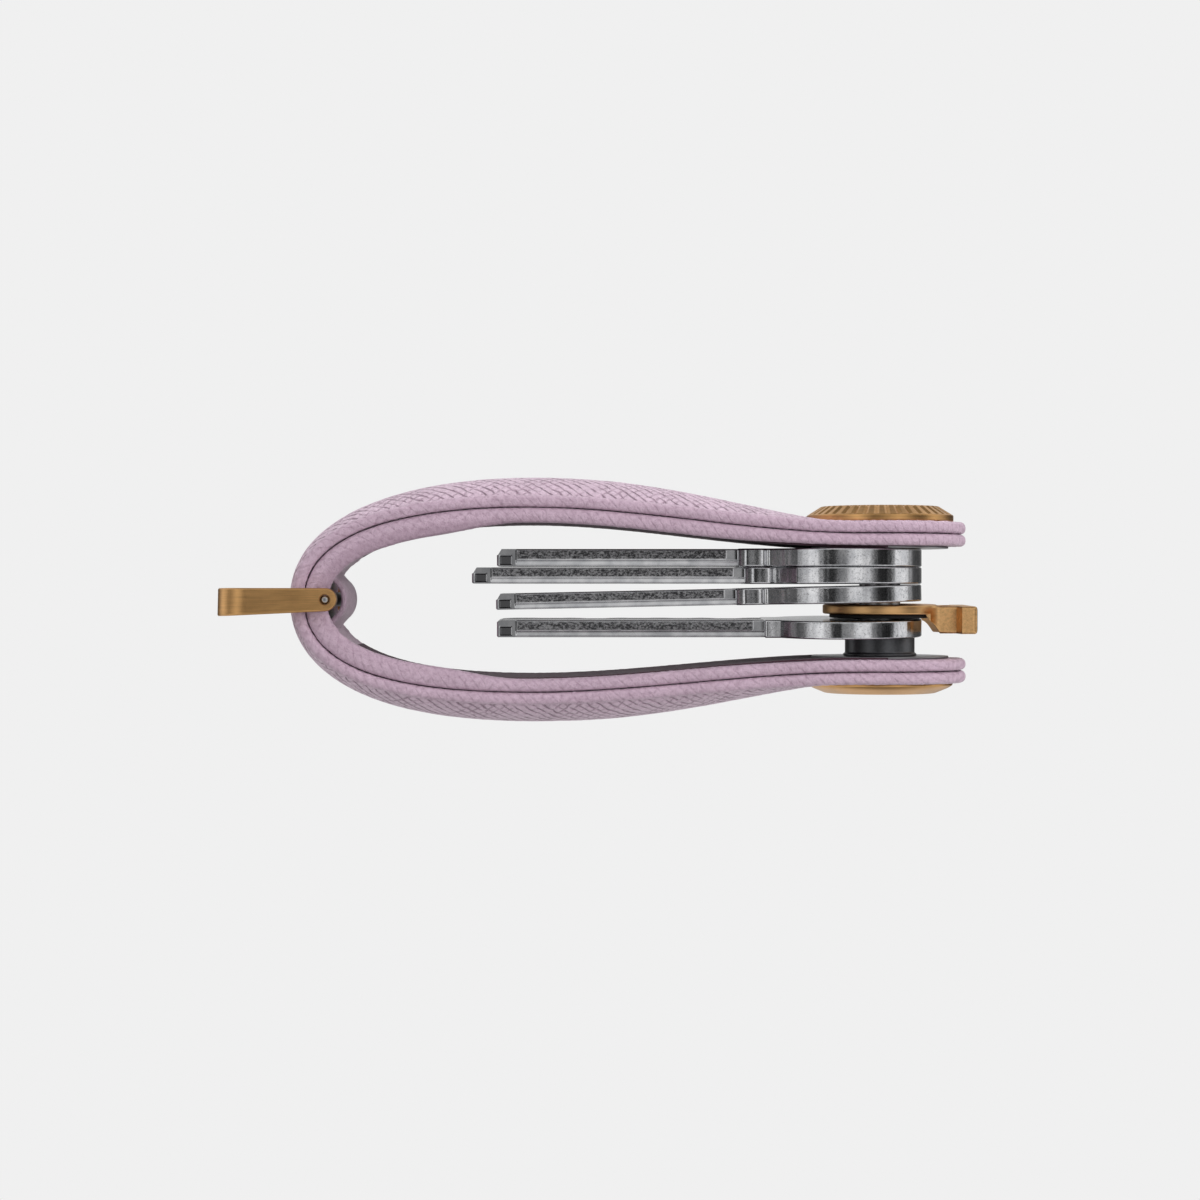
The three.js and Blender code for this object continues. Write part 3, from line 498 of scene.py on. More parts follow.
def outer_relief(s, v, reach, out):
    """Pressed grooves on the crown, slanting bumps along the turned edge, and a slow unevenness all
    over."""
    on_top = out > EDGE * 0.72
    crown = smooth((HALF_WIDTH - 0.7 - reach) / 0.3) * on_top
    edge = smooth((reach - HALF_WIDTH + 0.95) / 0.25)
    bumps = np.cos(2 * np.pi * (s + 0.6 * v) / 0.97 + 1.2 * wander(s, v, 2, 5))
    visible = on_top | (reach > HALF_WIDTH - 0.8)
    slow = 0.05 * wander(s, v, 3.0, 8) + 0.025 * wander(s, v, 0.5, 9)
    height = slow - 0.065 * crown * emboss(s, v) + 0.026 * edge * bumps * np.sign(out - EDGE / 2)
    # Painted shade: the second value is lower on the turned edge than on the crown, so the edge is painted a
    # little darker.
    return visible * height, 0.24 + 0.76 * crown


def inner_edge_at(base):
    """The inner layer's thickness: it bunches up a little inside the bend."""
    x = np.interp(base, LINE_S, LINE[:, 0])
    return EDGE + 0.2 * np.clip((CREST_X - x) / (CREST_X - BEND_X), 0, 1) ** 2


def inner_profile(base, side):
    """A flat band with fully turned edges, under the seam. Away from the post the turned edge is fuller
    than the band, most of all inside the bend, where the leather has nowhere else to go."""
    thick = inner_edge_at(base)
    x = np.interp(base, LINE_S, LINE[:, 0])
    near = np.clip(-side, 0, 1) * smooth((POST_X - 8 - x) / 12)
    fuller = near * np.where(base < BEND_S, 0.36, 0.14)
    fuller = fuller + (0.15 + 0.65 * near) * smooth((CREST_X - 1 - x) / 10)
    top = np.linspace(0, HALF_WIDTH - 0.9, 10)
    edge, lift = roll(ROLL_STEPS, -1.0, 0.0, HALF_WIDTH)
    edge = HALF_WIDTH - 0.7 + (edge - HALF_WIDTH + 0.5) * 1.4
    under = np.r_[np.linspace(HALF_WIDTH - 0.9, HALF_WIDTH - 2.3, 12), np.linspace(HALF_WIDTH - 2.6, 0, 10)]
    reach = np.r_[top, edge, under]
    heights = [
        np.full((len(base), len(top)), -SEAM_HALF),
        -SEAM_HALF + lift * (thick + fuller - SEAM_HALF),
        -thick - fuller * smooth((under - HALF_WIDTH + 2.2) / 1.2),
    ]
    return np.broadcast_to(reach, (len(base), len(reach))), np.concatenate(heights, 1)


def inner_relief(s, v, reach, out):
    """Bumps along the turned edge, and puckers where the leather is squeezed inside the bend. The third
    value of the attribute falls to 0 on the inside, and lower on the underside of the turned edge near the
    bend, which the material reads as painted shade: darker leather."""
    edge = smooth((reach - HALF_WIDTH + 1.0) / 0.25)
    bumps = np.cos(2 * np.pi * (s - 0.6 * v) / 0.97 + 1.2 * wander(s, v, 2, 15))
    bend = np.exp(-(((s - BEND_S) / 9.0) ** 2))
    puckers = (0.03 + 0.16 * bend) * wander(s, v, 0.33, 16)
    side = np.where(out > -EDGE / 2, 0.3, -1.0)
    under = (out < -EDGE * 0.6) * smooth((HALF_WIDTH - 0.5 - reach) / 0.8)
    squeezed = under * np.exp(-(((s - BEND_S) / 7.0) ** 2))
    crumple = -(0.07 * wander(s, v, 0.3, 19) + 0.05 * wander(s, v, 1.1, 20)) * squeezed
    x = np.interp(s, LINE_S, LINE[:, 0])
    # Painted shade: the lower half of the turned edge near the bend is painted darker, most of all on the
    # upper limb.
    painted_roll_shade = smooth((-out - 0.75) / 1.1) * smooth((CREST_X + 8 - x) / 13) * np.where(s < BEND_S, 0.22, 0.08)
    height = edge * side * (0.026 * bumps + puckers + 0.03 * wander(s, v, 2.5, 18)) + crumple
    return height, np.minimum(0.24 - 0.24 * under, 0.24 - painted_roll_shade)


# %% [markdown]
# ## Materials
#
# Each finish is a small tree of shader nodes. A helper adds a node and links its inputs in one line, so
# that a material reads like a list of what it does: where am I on the piece, which pattern is here, how
# rough, how high.

# %% A short way to write node trees
class Nodes:
    """A node tree, emptied, with one call per node."""

    def __init__(self, node_tree):
        self.nodes = node_tree.nodes
        self.links = node_tree.links
        self.nodes.clear()

    def set(self, node, inputs):
        """Fills sockets: a socket is linked, and anything else is its value."""
        for key, value in inputs.items():
            socket = node.inputs[key]
            if isinstance(value, bpy.types.NodeSocket):
                self.links.new(value, socket)
            elif isinstance(value, tuple) and len(value) == 3 and socket.type == "RGBA":
                socket.default_value = (*value, 1)
            else:
                socket.default_value = value

    def add(self, kind, inputs=None, out=0, **settings):
        """Adds a node and returns one of its outputs."""
        node = self.nodes.new("ShaderNode" + kind)
        for key, value in settings.items():
            setattr(node, key, value)
        self.set(node, inputs or {})
        return node.outputs[out]

    def math(self, operation, *values, clamp=False):
        """One step of arithmetic on values or sockets."""
        return self.add("Math", dict(enumerate(values)), operation=operation, use_clamp=clamp)

    def place(self, scale=(1, 1, 1), attribute=None, shift=(0, 0, 0)):
        """Where we are: the piece's own attribute, or its Object coordinates, scaled."""
        if attribute:
            here = self.add("Attribute", out=1, attribute_name=attribute)
        else:
            here = self.add("TexCoord", out=3)
        return self.add("Mapping", {"Vector": here, "Scale": scale, "Location": shift})

    def noise(self, where, scale=1.0, detail=3.0, roughness=0.55, out=0):
        """A cloudy pattern: out 0 is its grey value and out 1 its colour."""
        inputs = {"Vector": where, "Scale": scale, "Detail": detail, "Roughness": roughness}
        return self.add("TexNoise", inputs, out)

    def ramp(self, value, *stops):
        """Maps a value to colours or greys. Each stop is (position, colour)."""
        node = self.nodes.new("ShaderNodeValToRGB")
        self.links.new(value, node.inputs[0])
        while len(node.color_ramp.elements) < len(stops):
            node.color_ramp.elements.new(0.5)
        for element, (position, colour) in zip(node.color_ramp.elements, stops):
            element.position = position
            element.color = (*colour, 1) if isinstance(colour, tuple) else (colour, colour, colour, 1)
        return node.outputs[0]

    def mix(self, share, a, b):
        """Mixes two colours."""
        node = self.nodes.new("ShaderNodeMix")
        node.data_type = "RGBA"
        self.set(node, {0: share})
        for socket, value in ((node.inputs[6], a), (node.inputs[7], b)):
            if isinstance(value, bpy.types.NodeSocket):
                self.links.new(value, socket)
            else:
                socket.default_value = (*value, 1)
        return node.outputs[2]

    def bump(self, height, strength=1.0, distance=0.0001, under=None):
        """Turns a height, in metres where distance is 1, into a normal. under is the normal it is laid
        on."""
        inputs = {"Height": height, "Strength": strength, "Distance": distance}
        if under is not None:
            inputs["Normal"] = under
        return self.add("Bump", inputs)


class Tree(Nodes):
    """A material's node tree. It starts with one principled shader."""

    def __init__(self, name, roughness=0.5, metallic=0.0, **fixed):
        self.material = bpy.data.materials.new(name)
        self.material.use_nodes = True
        super().__init__(self.material.node_tree)
        self.shader = self.nodes.new("ShaderNodeBsdfPrincipled")
        self.output = self.nodes.new("ShaderNodeOutputMaterial")
        self.links.new(self.shader.outputs[0], self.output.inputs["Surface"])
        self.set(self.shader, {"Roughness": roughness, "Metallic": metallic, **fixed})

    def surface(self, **inputs):
        """Links the finished colours and normals to the shader: base, rough, normal."""
        names = {"base": "Base Color", "rough": "Roughness", "normal": "Normal"}
        self.set(self.shader, {names[key]: value for key, value in inputs.items()})
        return self.material


def from_screen(r, g, b):
    """A colour from 0 to 255 as seen on a screen, as the linear values that shaders want."""
    return tuple(((c / 255 + 0.055) / 1.055) ** 2.4 for c in (r, g, b))


# %% [markdown]
# ### Lilac leather
#
# Embossed leather is matt with a soft shine on the tops of its grain: partly real shine, and partly a
# painted highlight, since the lands between the grooves are painted lighter. The grooves are drawn from the
# strap's own lengths, so they follow it round the bend. Each set of grooves is a wave along one slanting
# direction, and a noise wobble keeps them from looking printed. Colour is painted a little deeper in the
# grooves as shade, and wanders slowly.

# %% Leather
def leather(name, base, deep):
    """Reads strap_mm: x along, y across and z the grooves' strength, which also sets painted shade: the
    colour is darkened towards deep where z is low. Each groove is ((1 + cos) / 2)^7 of the coordinate x +
    lean y, broken up by noise, and the two families are joined by their maximum."""
    fixed = {"Specular IOR Level": 0.45, "Sheen Weight": 0.1, "Sheen Roughness": 0.4}
    tree = Tree(name, **fixed)
    parts = tree.add("SeparateXYZ", {0: tree.add("Attribute", out=1, attribute_name="strap_mm")})
    strength = parts.node.outputs[2]
    flat = tree.add("CombineXYZ", {0: parts, 1: parts.node.outputs[1]})
    wobble = tree.noise(flat, 0.6, 2.0, out=1)
    wobble = tree.add("VectorMath", {0: wobble, 1: (0.5, 0.5, 0.5)}, operation="SUBTRACT")
    wobble = tree.add("VectorMath", {0: wobble, "Scale": 0.7}, operation="SCALE")
    moved = tree.add("SeparateXYZ", {0: tree.add("VectorMath", {0: flat, 1: wobble}, operation="ADD")})
    across = moved.node.outputs[1]
    fields = tree.noise(flat, 0.22, 2.0)
    grooves = None
    families = (-HATCH_LEAN, ((0.3, 1.0), (0.7, 0.8))), (HATCH_LEAN, ((0.42, 0.1), (0.62, 0.75)))
    for direction, share in families:
        slant = tree.math("MULTIPLY_ADD", across, direction, moved)
        wave = tree.math("COSINE", tree.math("MULTIPLY", slant, 2 * math.pi / HATCH))
        line = tree.math("POWER", tree.math("MULTIPLY_ADD", wave, 0.5, 0.5, clamp=True), 7.0)
        shifted = tree.add("Mapping", {"Vector": flat, "Location": (direction * 9, 0, 0)})
        breaks = tree.ramp(tree.noise(shifted, 0.8, 1.0), (0.34, 0.2), (0.52, 1.0))
        line = tree.math("MULTIPLY", tree.math("MULTIPLY", line, breaks), tree.ramp(fields, *share))
        grooves = line if grooves is None else tree.math("MAXIMUM", grooves, line)
    grooves = tree.math("MULTIPLY", grooves, strength)
    pores = tree.noise(flat, 7.0, 4.0, 0.65)
    creases = tree.noise(flat, 1.7, 3.0, 0.6)
    slow = tree.noise(flat, 0.16, 3.0)
    colour = tree.mix(tree.ramp(slow, (0.35, 0.0), (0.7, 1.0)), base, tuple(c * 0.88 for c in base))
    colour = tree.mix(tree.math("MULTIPLY", tree.ramp(creases, (0.36, 1.0), (0.56, 0.0)), 0.3), colour, deep)
    # Painted highlight: the lands between the grooves are painted lighter, most of all on the crown.
    lands = tree.ramp(grooves, (0.0, 1.0), (0.12, 0.0))
    painted_land_highlight = tree.math("MULTIPLY", lands, tree.math("MULTIPLY", strength, 0.3))
    colour = tree.mix(painted_land_highlight, colour, tuple(c**0.8 for c in base))
    # Painted shade: the grooves are painted darker, towards deep.
    colour = tree.mix(tree.math("MULTIPLY", grooves, 0.72), colour, deep)
    # Painted shade: where strength is low (the turned edges, the inner layer's underside and the keeper's
    # inner side) the colour is darkened towards deep.
    colour = tree.mix(tree.ramp(strength, (0.0, 0.45), (0.2, 0.16), (0.6, 0.0)), colour, deep)
    colour = tree.mix(tree.math("MULTIPLY", tree.ramp(pores, (0.3, 1.0), (0.5, 0.0)), 0.22), colour, deep)
    rough = tree.math("MULTIPLY_ADD", pores, 0.3, 0.3)
    height = tree.math("MULTIPLY_ADD", pores, 0.25, tree.math("MULTIPLY", creases, 0.9))
    height = tree.math("MULTIPLY_ADD", grooves, -1.0, height)
    return tree.surface(base=colour, rough=rough, normal=tree.bump(height, 1.0, 0.0002))


LILAC = from_screen(208, 182, 199)
LILAC_DEEP = from_screen(120, 90, 108)
lilac_leather = leather("lilac_leather", LILAC, LILAC_DEEP)
# Painted shade: the keeper's leather is a darker copy of the lilac leather, for the shade behind the bend.
shaded_keeper_leather = leather("lilac_leather_keeper", from_screen(186, 164, 178), LILAC_DEEP)


# %% [markdown]
# ### Suede, felt, rubber and plastic
#
# The lining is suede painted dark plum as the shade inside the loop: no shine, a fuzzy nap from fine noise,
# and a little sheen at grazing angles.
# Felt and rubber follow the same plan with other numbers, so one function serves all of them.

# %% Dull materials
def dull(name, base, other, scale=2500, rough=0.85, sheen=0.0, height=0.00008, specular=0.3, metallic=0.0):
    """Fine noise mixes base with other and makes the nap, and a noise twelve times larger darkens
    patches."""
    fixed = {"Specular IOR Level": specular, "Sheen Weight": sheen, "Sheen Roughness": 0.5}
    tree = Tree(name, metallic=metallic, **fixed)
    fine = tree.noise(tree.place(), scale, 5.0, 0.7)
    patches = tree.noise(tree.place(), scale / 12, 2.0)
    colour = tree.mix(tree.ramp(fine, (0.3, 0.0), (0.7, 1.0)), base, other)
    colour = tree.mix(tree.math("MULTIPLY", patches, 0.35), colour, tuple(c * 0.6 for c in base))
    roughness = tree.math("MULTIPLY_ADD", fine, 0.2, rough - 0.1, clamp=True)
    return tree.surface(base=colour, rough=roughness, normal=tree.bump(fine, 0.8, height))


# Painted shade: the lining's dark plum colour stands for the shade inside the loop.
suede = dull("plum_suede", from_screen(62, 42, 52), from_screen(88, 64, 75), sheen=0.08, specular=0.15)
felt = dull("grey_felt", from_screen(92, 90, 92), from_screen(130, 128, 130), scale=1600, sheen=0.4,
            height=0.0002)
rubber = dull("black_rubber", from_screen(20, 19, 20), from_screen(32, 31, 32), scale=1800, rough=0.6)
spacer_grey = dull("dark_grey_nylon", from_screen(80, 81, 84), from_screen(98, 99, 102), rough=0.34,
                   height=0.00001, specular=0.6, metallic=0.7)


# %% [markdown]
# ### Metals
#
# Brushed metal is many fine parallel scratches. A noise stretched along one direction gives them, as bump
# and as small changes in roughness. The stretch follows the band on the shackle, and runs in circles on
# turned pieces.

# %% Brushed, turned and blasted metal
def metal(name, base, dark, rough=0.3, flow="band_mm", stretch=(0.25, 14, 14), depth=0.000012):
    """flow names the attribute that the scratches follow; None takes circles round the post axis
    instead."""
    tree = Tree(name, metallic=1.0)
    if flow:
        where = tree.place(stretch, flow)
    else:
        here = tree.place((1000, 1000, 1000), shift=(-POST_X, 0, 0))
        parts = tree.add("SeparateXYZ", {0: here})
        flat = tree.add("CombineXYZ", {0: parts, 1: parts.node.outputs[1]})
        radius = tree.add("VectorMath", {0: flat}, operation="LENGTH", out=1)
        third = tree.math("MULTIPLY", radius, 0.37)
        where = tree.add("CombineXYZ", {0: radius, 1: parts.node.outputs[2], 2: third})
        where = tree.add("Mapping", {"Vector": where, "Scale": (stretch[1],) * 3})
    lines = tree.noise(where, 1.0, 5.0, 0.7)
    blotch = tree.noise(tree.place((1000, 1000, 1000)), 0.35, 3.0)
    grain = tree.noise(tree.place((1000, 1000, 1000)), 9.0, 3.0, 0.7)
    colour = tree.mix(tree.ramp(blotch, (0.3, 0.0), (0.7, 1.0)), base, tuple(c * 0.8 for c in base))
    colour = tree.mix(tree.math("MULTIPLY", tree.ramp(lines, (0.35, 1.0), (0.6, 0.0)), 0.35), colour, dark)
    roughness = tree.math("MULTIPLY_ADD", lines, 0.18, rough - 0.06, clamp=True)
    normal = tree.bump(grain, 0.5, depth * 1.2)
    normal = tree.bump(lines, 0.7, depth, under=normal)
    return tree.surface(base=colour, rough=roughness, normal=normal)


BRASS = from_screen(232, 181, 120)
BRASS_DARK = from_screen(126, 92, 52)
brushed_brass = metal("brass_brushed_along", BRASS, BRASS_DARK, rough=0.34)
turned_brass = metal("brass_turned", BRASS, BRASS_DARK, rough=0.3, flow=None, stretch=(1, 8, 8))
blasted_brass = metal("brass_blasted", from_screen(246, 196, 136), BRASS_DARK, rough=0.36, flow=None,
                      stretch=(1, 3, 3), depth=0.00001)
STEEL = from_screen(196, 196, 197)
STEEL_DARK = from_screen(70, 70, 72)
turned_steel = metal("steel_turned", STEEL, STEEL_DARK, rough=0.28, flow=None, stretch=(1, 7, 7))
plate_steel = metal("steel_plate", from_screen(178, 178, 180), STEEL_DARK, rough=0.34, flow=None,
                    stretch=(1, 6, 6))
spring_steel = metal("steel_spring", from_screen(150, 152, 156), STEEL_DARK, rough=0.3, flow=None)


# %% [markdown]
# ### Key metal
#
# A key blank is nickel-plated brass. Its head is tumbled bright, and the edge of its blade keeps a rough
# dark band from the mill, with a bright strip beside it. The key's own attribute says how strong that
# dark band is.

# %% Nickel with a rough band
def nickel(name):
    """Reads key_finish: x the mill's rough band, y the tumbled head, z the sunk window at the tip. Each
    is a share that mixes its own colour, roughness and relief over the plain nickel."""
    tree = Tree(name, metallic=1.0)
    dark_band = tree.add("SeparateXYZ", {0: tree.add("Attribute", out=1, attribute_name="key_finish")})
    soft = tree.noise(tree.place((550, 550, 550)), 1.0, 3.0)
    grain = tree.noise(tree.place((3600, 3600, 5000)), 1.0, 4.0, 0.75)
    scratch = tree.noise(tree.place((0.4, 9, 11), "key_mm"), 1.0, 3.0, 0.6)
    cast = dark_band.node.outputs[1]
    window = dark_band.node.outputs[2]
    clouds = tree.ramp(soft, (0.35, 0.0), (0.65, 1.0))
    colour = tree.mix(clouds, from_screen(214, 214, 216), from_screen(184, 185, 188))
    flecks = tree.ramp(grain, (0.44, 0.0), (0.62, 1.0))
    speckled = tree.mix(flecks, from_screen(48, 48, 50), from_screen(176, 176, 178))
    colour = tree.mix(tree.math("MULTIPLY", dark_band, 0.95), colour, speckled)
    colour = tree.mix(window, colour, from_screen(120, 120, 122))
    spots = tree.ramp(grain, (0.38, 1.0), (0.46, 0.0))
    spots = tree.math("MULTIPLY", spots, tree.math("MULTIPLY", cast, 0.4))
    colour = tree.mix(spots, colour, from_screen(66, 66, 68))
    rough = tree.math("MULTIPLY_ADD", dark_band, 0.36, tree.math("MULTIPLY_ADD", scratch, 0.1, 0.1))
    share = tree.math("MULTIPLY_ADD", dark_band, 1.0, tree.math("MULTIPLY", cast, 0.12))
    relief = tree.math("MULTIPLY", grain, share)
    normal = tree.bump(relief, 0.9, 0.00009)
    waves = tree.noise(tree.place((1, 1, 0.12), "key_mm"), 0.45, 2.0)
    normal = tree.bump(tree.math("MULTIPLY", waves, cast), 1.0, 0.00012, under=normal)
    normal = tree.bump(scratch, 0.3, 0.00001, under=normal)
    return tree.surface(base=colour, rough=rough, normal=normal)


key_metal = nickel("key_nickel")

# %% [markdown]
# ## The leather strap
#
# The outer layer runs in one piece from one end, round the bend, to the other end, across the two strap
# bodies of the frame. Fabric and leather that cross a joint would need to bend between the bodies when the
# screw backs out; here such a piece is only baked in place, attached to neither body.

# %% Outer layer, inner layer
SPLIT_LOW = (0, 0, (MID_Z - 4) * MM)
SPLIT_HIGH = (0, 0, (MID_Z + 4.5) * MM)
BOTH = ("lower_strap", "upper_strap", SPLIT_LOW, SPLIT_HIGH)
FINE = 0.27

walk = outline_walk(0, STRAP_S, FINE, 90)
outer = strap_layer("outer_strap", walk, outer_profile, outer_relief)
inner = strap_layer("inner_strap", walk, inner_profile, inner_relief)


def post_hole():
    """A plain cylinder as wide as the eyelets, to cut the post's way through a layer."""
    return lathe("hole_tool", [(0, 2), (3.22, 2), (3.22, 26), (0, 26)], segments=48)


for layer in (outer, inner):
    combine(layer, post_hole(), sharp=60)
finish_piece(outer, BOTH, "strap_leather", lilac_leather, "outer_leather_upper", "outer_leather_lower")
finish_piece(inner, BOTH, "strap_leather", lilac_leather, "inner_leather_upper", "inner_leather_lower")


# %% [markdown]
# ## Padding
#
# Two felt pads fill the hollow under the outer layer. Nobody sees them, but they are what makes the
# crown, so they are made as they are: crowned forms with soft ends. Their top repeats the hollow's own
# rule, a little lower.

# %% Pads
PAD_ENDS = (17.0, BEND_S - 5.0)


def pad(name, side):
    """A crowned pad: its thickness follows the hollow above it and fades to nothing at both ends."""
    toward = np.linspace(*PAD_ENDS, 150)
    s = (toward if side > 0 else STRAP_S - toward)[:, None]
    turn = np.linspace(0, 2 * np.pi, 56, endpoint=False)[None, :]
    across = np.cos(turn)
    upper = np.sin(turn) >= 0
    fade = smooth((toward - PAD_ENDS[0]) / 2.5)[:, None] * smooth((PAD_ENDS[1] - toward) / 2.5)[:, None]
    fade = np.maximum(fade, 0.02)
    v = across * (HALF_WIDTH - 2.6) * (0.7 + 0.3 * fade)
    low = 0.46
    high = EDGE - SKIN - 0.12 + crown_at(s) * pillow(np.abs(v))
    side_round = (1 - np.abs(across) ** 6) ** 0.5
    out = np.where(upper, low + (high - low) * fade * side_round, low)
    points = on_strap(np.broadcast_to(s, out.shape), v, out)
    rings = capped(points)
    return solid(name, rings, cells(len(rings), 56, wrap_columns=True), weld=0.001, sharp=50)


for side, word in ((1, "upper"), (-1, "lower")):
    piece = pad(f"felt_pad_{word}", side)
    finish_piece(piece, f"{word}_strap", "pad_foam", felt, f"pad_{word}")

# %% [markdown]
# ## Lining
#
# The suede lining is a thin sheet glued inside the loop. Its dark colour is painted shade.

# %% Lining
LINING_HALF = 8.5
LINING_THICK = 0.2
LINING_ENDS = (8.45, BEND_S - 8.2)
PLATE_CUT = 8.4


def lining(name, side):
    """A thin sheet with a slightly ragged edge. Where it meets the plate it is cut round: its end
    stands sqrt(cut^2 - v^2) from the post."""
    toward = np.linspace(*LINING_ENDS, 420)
    s = (toward if side > 0 else STRAP_S - toward)[:, None]
    share = np.linspace(-1, 1, 44)[None, :]
    half = LINING_HALF + 0.3 * smooth((toward[:, None] - 16) / 8) + 0.06 * wander(s, s * 0, 0.25, 21)
    v = share * half
    s = s + 0 * v
    away = np.sqrt(np.maximum(PLATE_CUT**2 - v**2, 0))
    cut_share = smooth((20 - toward) / 10)[:, None]
    s_cut = s + side * (away - LINING_ENDS[0]) * cut_share
    fuzz = 0.02 * wander(s, v, 0.12, 22)
    thick = inner_edge_at(s_cut)
    glued = on_strap(s_cut, v, -thick - 0.02)
    napped = on_strap(s_cut, v, -thick - 0.03 - LINING_THICK + fuzz)
    ring = capped(np.concatenate([glued, napped[:, ::-1]], 1))
    return solid(name, ring, cells(len(ring), ring.shape[1], wrap_columns=True), weld=0.0005, sharp=50)


for side, word in ((1, "upper"), (-1, "lower")):
    piece = lining(f"suede_lining_{word}", side)
    finish_piece(piece, f"{word}_strap", "lining_suede", suede, f"lining_{word}")

# %% [markdown]
# ## Keeper
#
# Behind the bend, a narrow leather band holds a grey sleeve, and the shackle's pin turns in it. The
# band's path is a foot on the strap, an arc round the sleeve and another foot, and its section is a flat
# strip with turned edges.

# %% Keeper band
KEEPER_HALF = 6.5
KEEPER_IN = 1.2
KEEPER_THICK = 0.85
KEEPER_TALL = 1.4
KEEPER_MEET = math.radians(56)


def keeper():
    """The path is worked out at the band's middle: feet curve in from the strap's face and meet an
    ellipse round the sleeve, x = r cos, z = 1.4 r sin. Each section is a rounded strip, thinned towards
    the ends of the feet."""
    middle = KEEPER_IN + KEEPER_THICK / 2
    arc = np.linspace(KEEPER_MEET, -KEEPER_MEET, 40)
    round_part = np.stack([middle * np.cos(arc), KEEPER_TALL * middle * np.sin(arc)], -1)
    face = BEND_X - PIN_X + 1.6
    foot = cubic((face + 0.15, 4.6), (face + 0.25, 3.7), (face + 0.95, 2.75), round_part[0], 24)[:-1]
    path = np.concatenate([foot, round_part, foot[::-1] * (1, -1)])
    way = np.gradient(path, axis=0)
    way /= np.linalg.norm(way, axis=1, keepdims=True)
    outward = np.stack([-way[:, 1], way[:, 0]], -1)
    place = np.r_[0, np.cumsum(np.hypot(*np.diff(path, axis=0).T))]
    thin = smooth(np.minimum(place, place[-1] - place) / 1.6) * 0.8 + 0.2
    turn = np.linspace(0, 2 * np.pi, 60, endpoint=False)
    half = KEEPER_THICK / 2
    across, up = np.cos(turn), np.sin(turn)
    strip_y = np.sign(across) * (KEEPER_HALF - half) + half * np.sign(across) * np.abs(across) ** 0.8
    strip_y = np.where(np.abs(across) < 0.8, across / 0.8 * (KEEPER_HALF - half), strip_y)
    flat = np.abs(up) ** 0.8 * np.sign(up) * half
    depth = flat[None, :] * thin[:, None]
    depth = depth + 0.03 * wander(place[:, None], strip_y[None, :], 0.8, 31) * thin[:, None]
    x = PIN_X + path[:, :1] + outward[:, :1] * depth
    z = MID_Z + path[:, 1:] + outward[:, 1:] * depth
    points = np.stack([x, np.broadcast_to(strip_y, x.shape), z], -1)
    along = np.broadcast_to(place[:, None], x.shape)
    # Painted shade: the third value is lower on the band's inner side, which the leather paints darker.
    flow = np.stack([along, strip_y + depth, 0.13 + 0.08 * np.sign(depth)], -1)
    points = capped(points)
    flow = {"strap_mm": np.concatenate([flow[:1], flow, flow[-1:]])}
    return solid("keeper_band", points, cells(len(points), 60, wrap_columns=True), flow, sharp=60)


finish_piece(keeper(), "lower_strap", "strap_leather", shaded_keeper_leather, "pin_keeper")

# %% [markdown]
# ## Sleeve and pin
#
# Both are turned pieces that lie on their side. The lathe makes them upright, and a small rule lays them
# down along the pin's axis, so no second lathe is needed.

# %% Sleeve and shackle pin
def side_turned(name, profile, segments=64):
    """A piece turned about the pin's axis: its profile is (radius, distance across)."""
    def place(points):
        """(x, y, z) becomes (x, z, y), moved to the pin."""
        return np.stack([points[..., 0] + PIN_X, points[..., 2], points[..., 1] + MID_Z], -1)
    return lathe(name, profile, segments=segments, place=place)


sleeve_profile = eased([(0.55, -9.9), (0.82, -9.9), (0.82, 9.9), (0.55, 9.9)], 0.08, closed=True)
finish_piece(side_turned("sleeve", sleeve_profile), "lower_strap", "spacer_grey", spacer_grey, "pin_sleeve")
pin_profile = eased([(0, -11.5), (0.44, -11.42), (0.44, 11.42), (0, 11.5)], [0, 0.2, 0.2, 0])
finish_piece(side_turned("pin", pin_profile), "shackle", "post_steel", turned_steel, "shackle_pin")

# %% [markdown]
# ## The shackle
#
# A flat brass band is bent into a U. The band's section is a rounded strip, carried along the U, and its
# height tapers from the cross bar to the eyes. Past the pin the height follows a circle, which rounds the
# ends off. A small sunk hole at each eye shows the end of the pin.

# %% Shackle band
SHACKLE_IN = 10.4
SHACKLE_THICK = 1.35
SHACKLE_CORNER = 3.8
SHACKLE_REACH = 12.6
BAR_HALF = 1.62
EYE_R = 1.32
EYE_STEPS = 26
BAND_ROUND = 0.2
DROOP = math.radians(1.3)


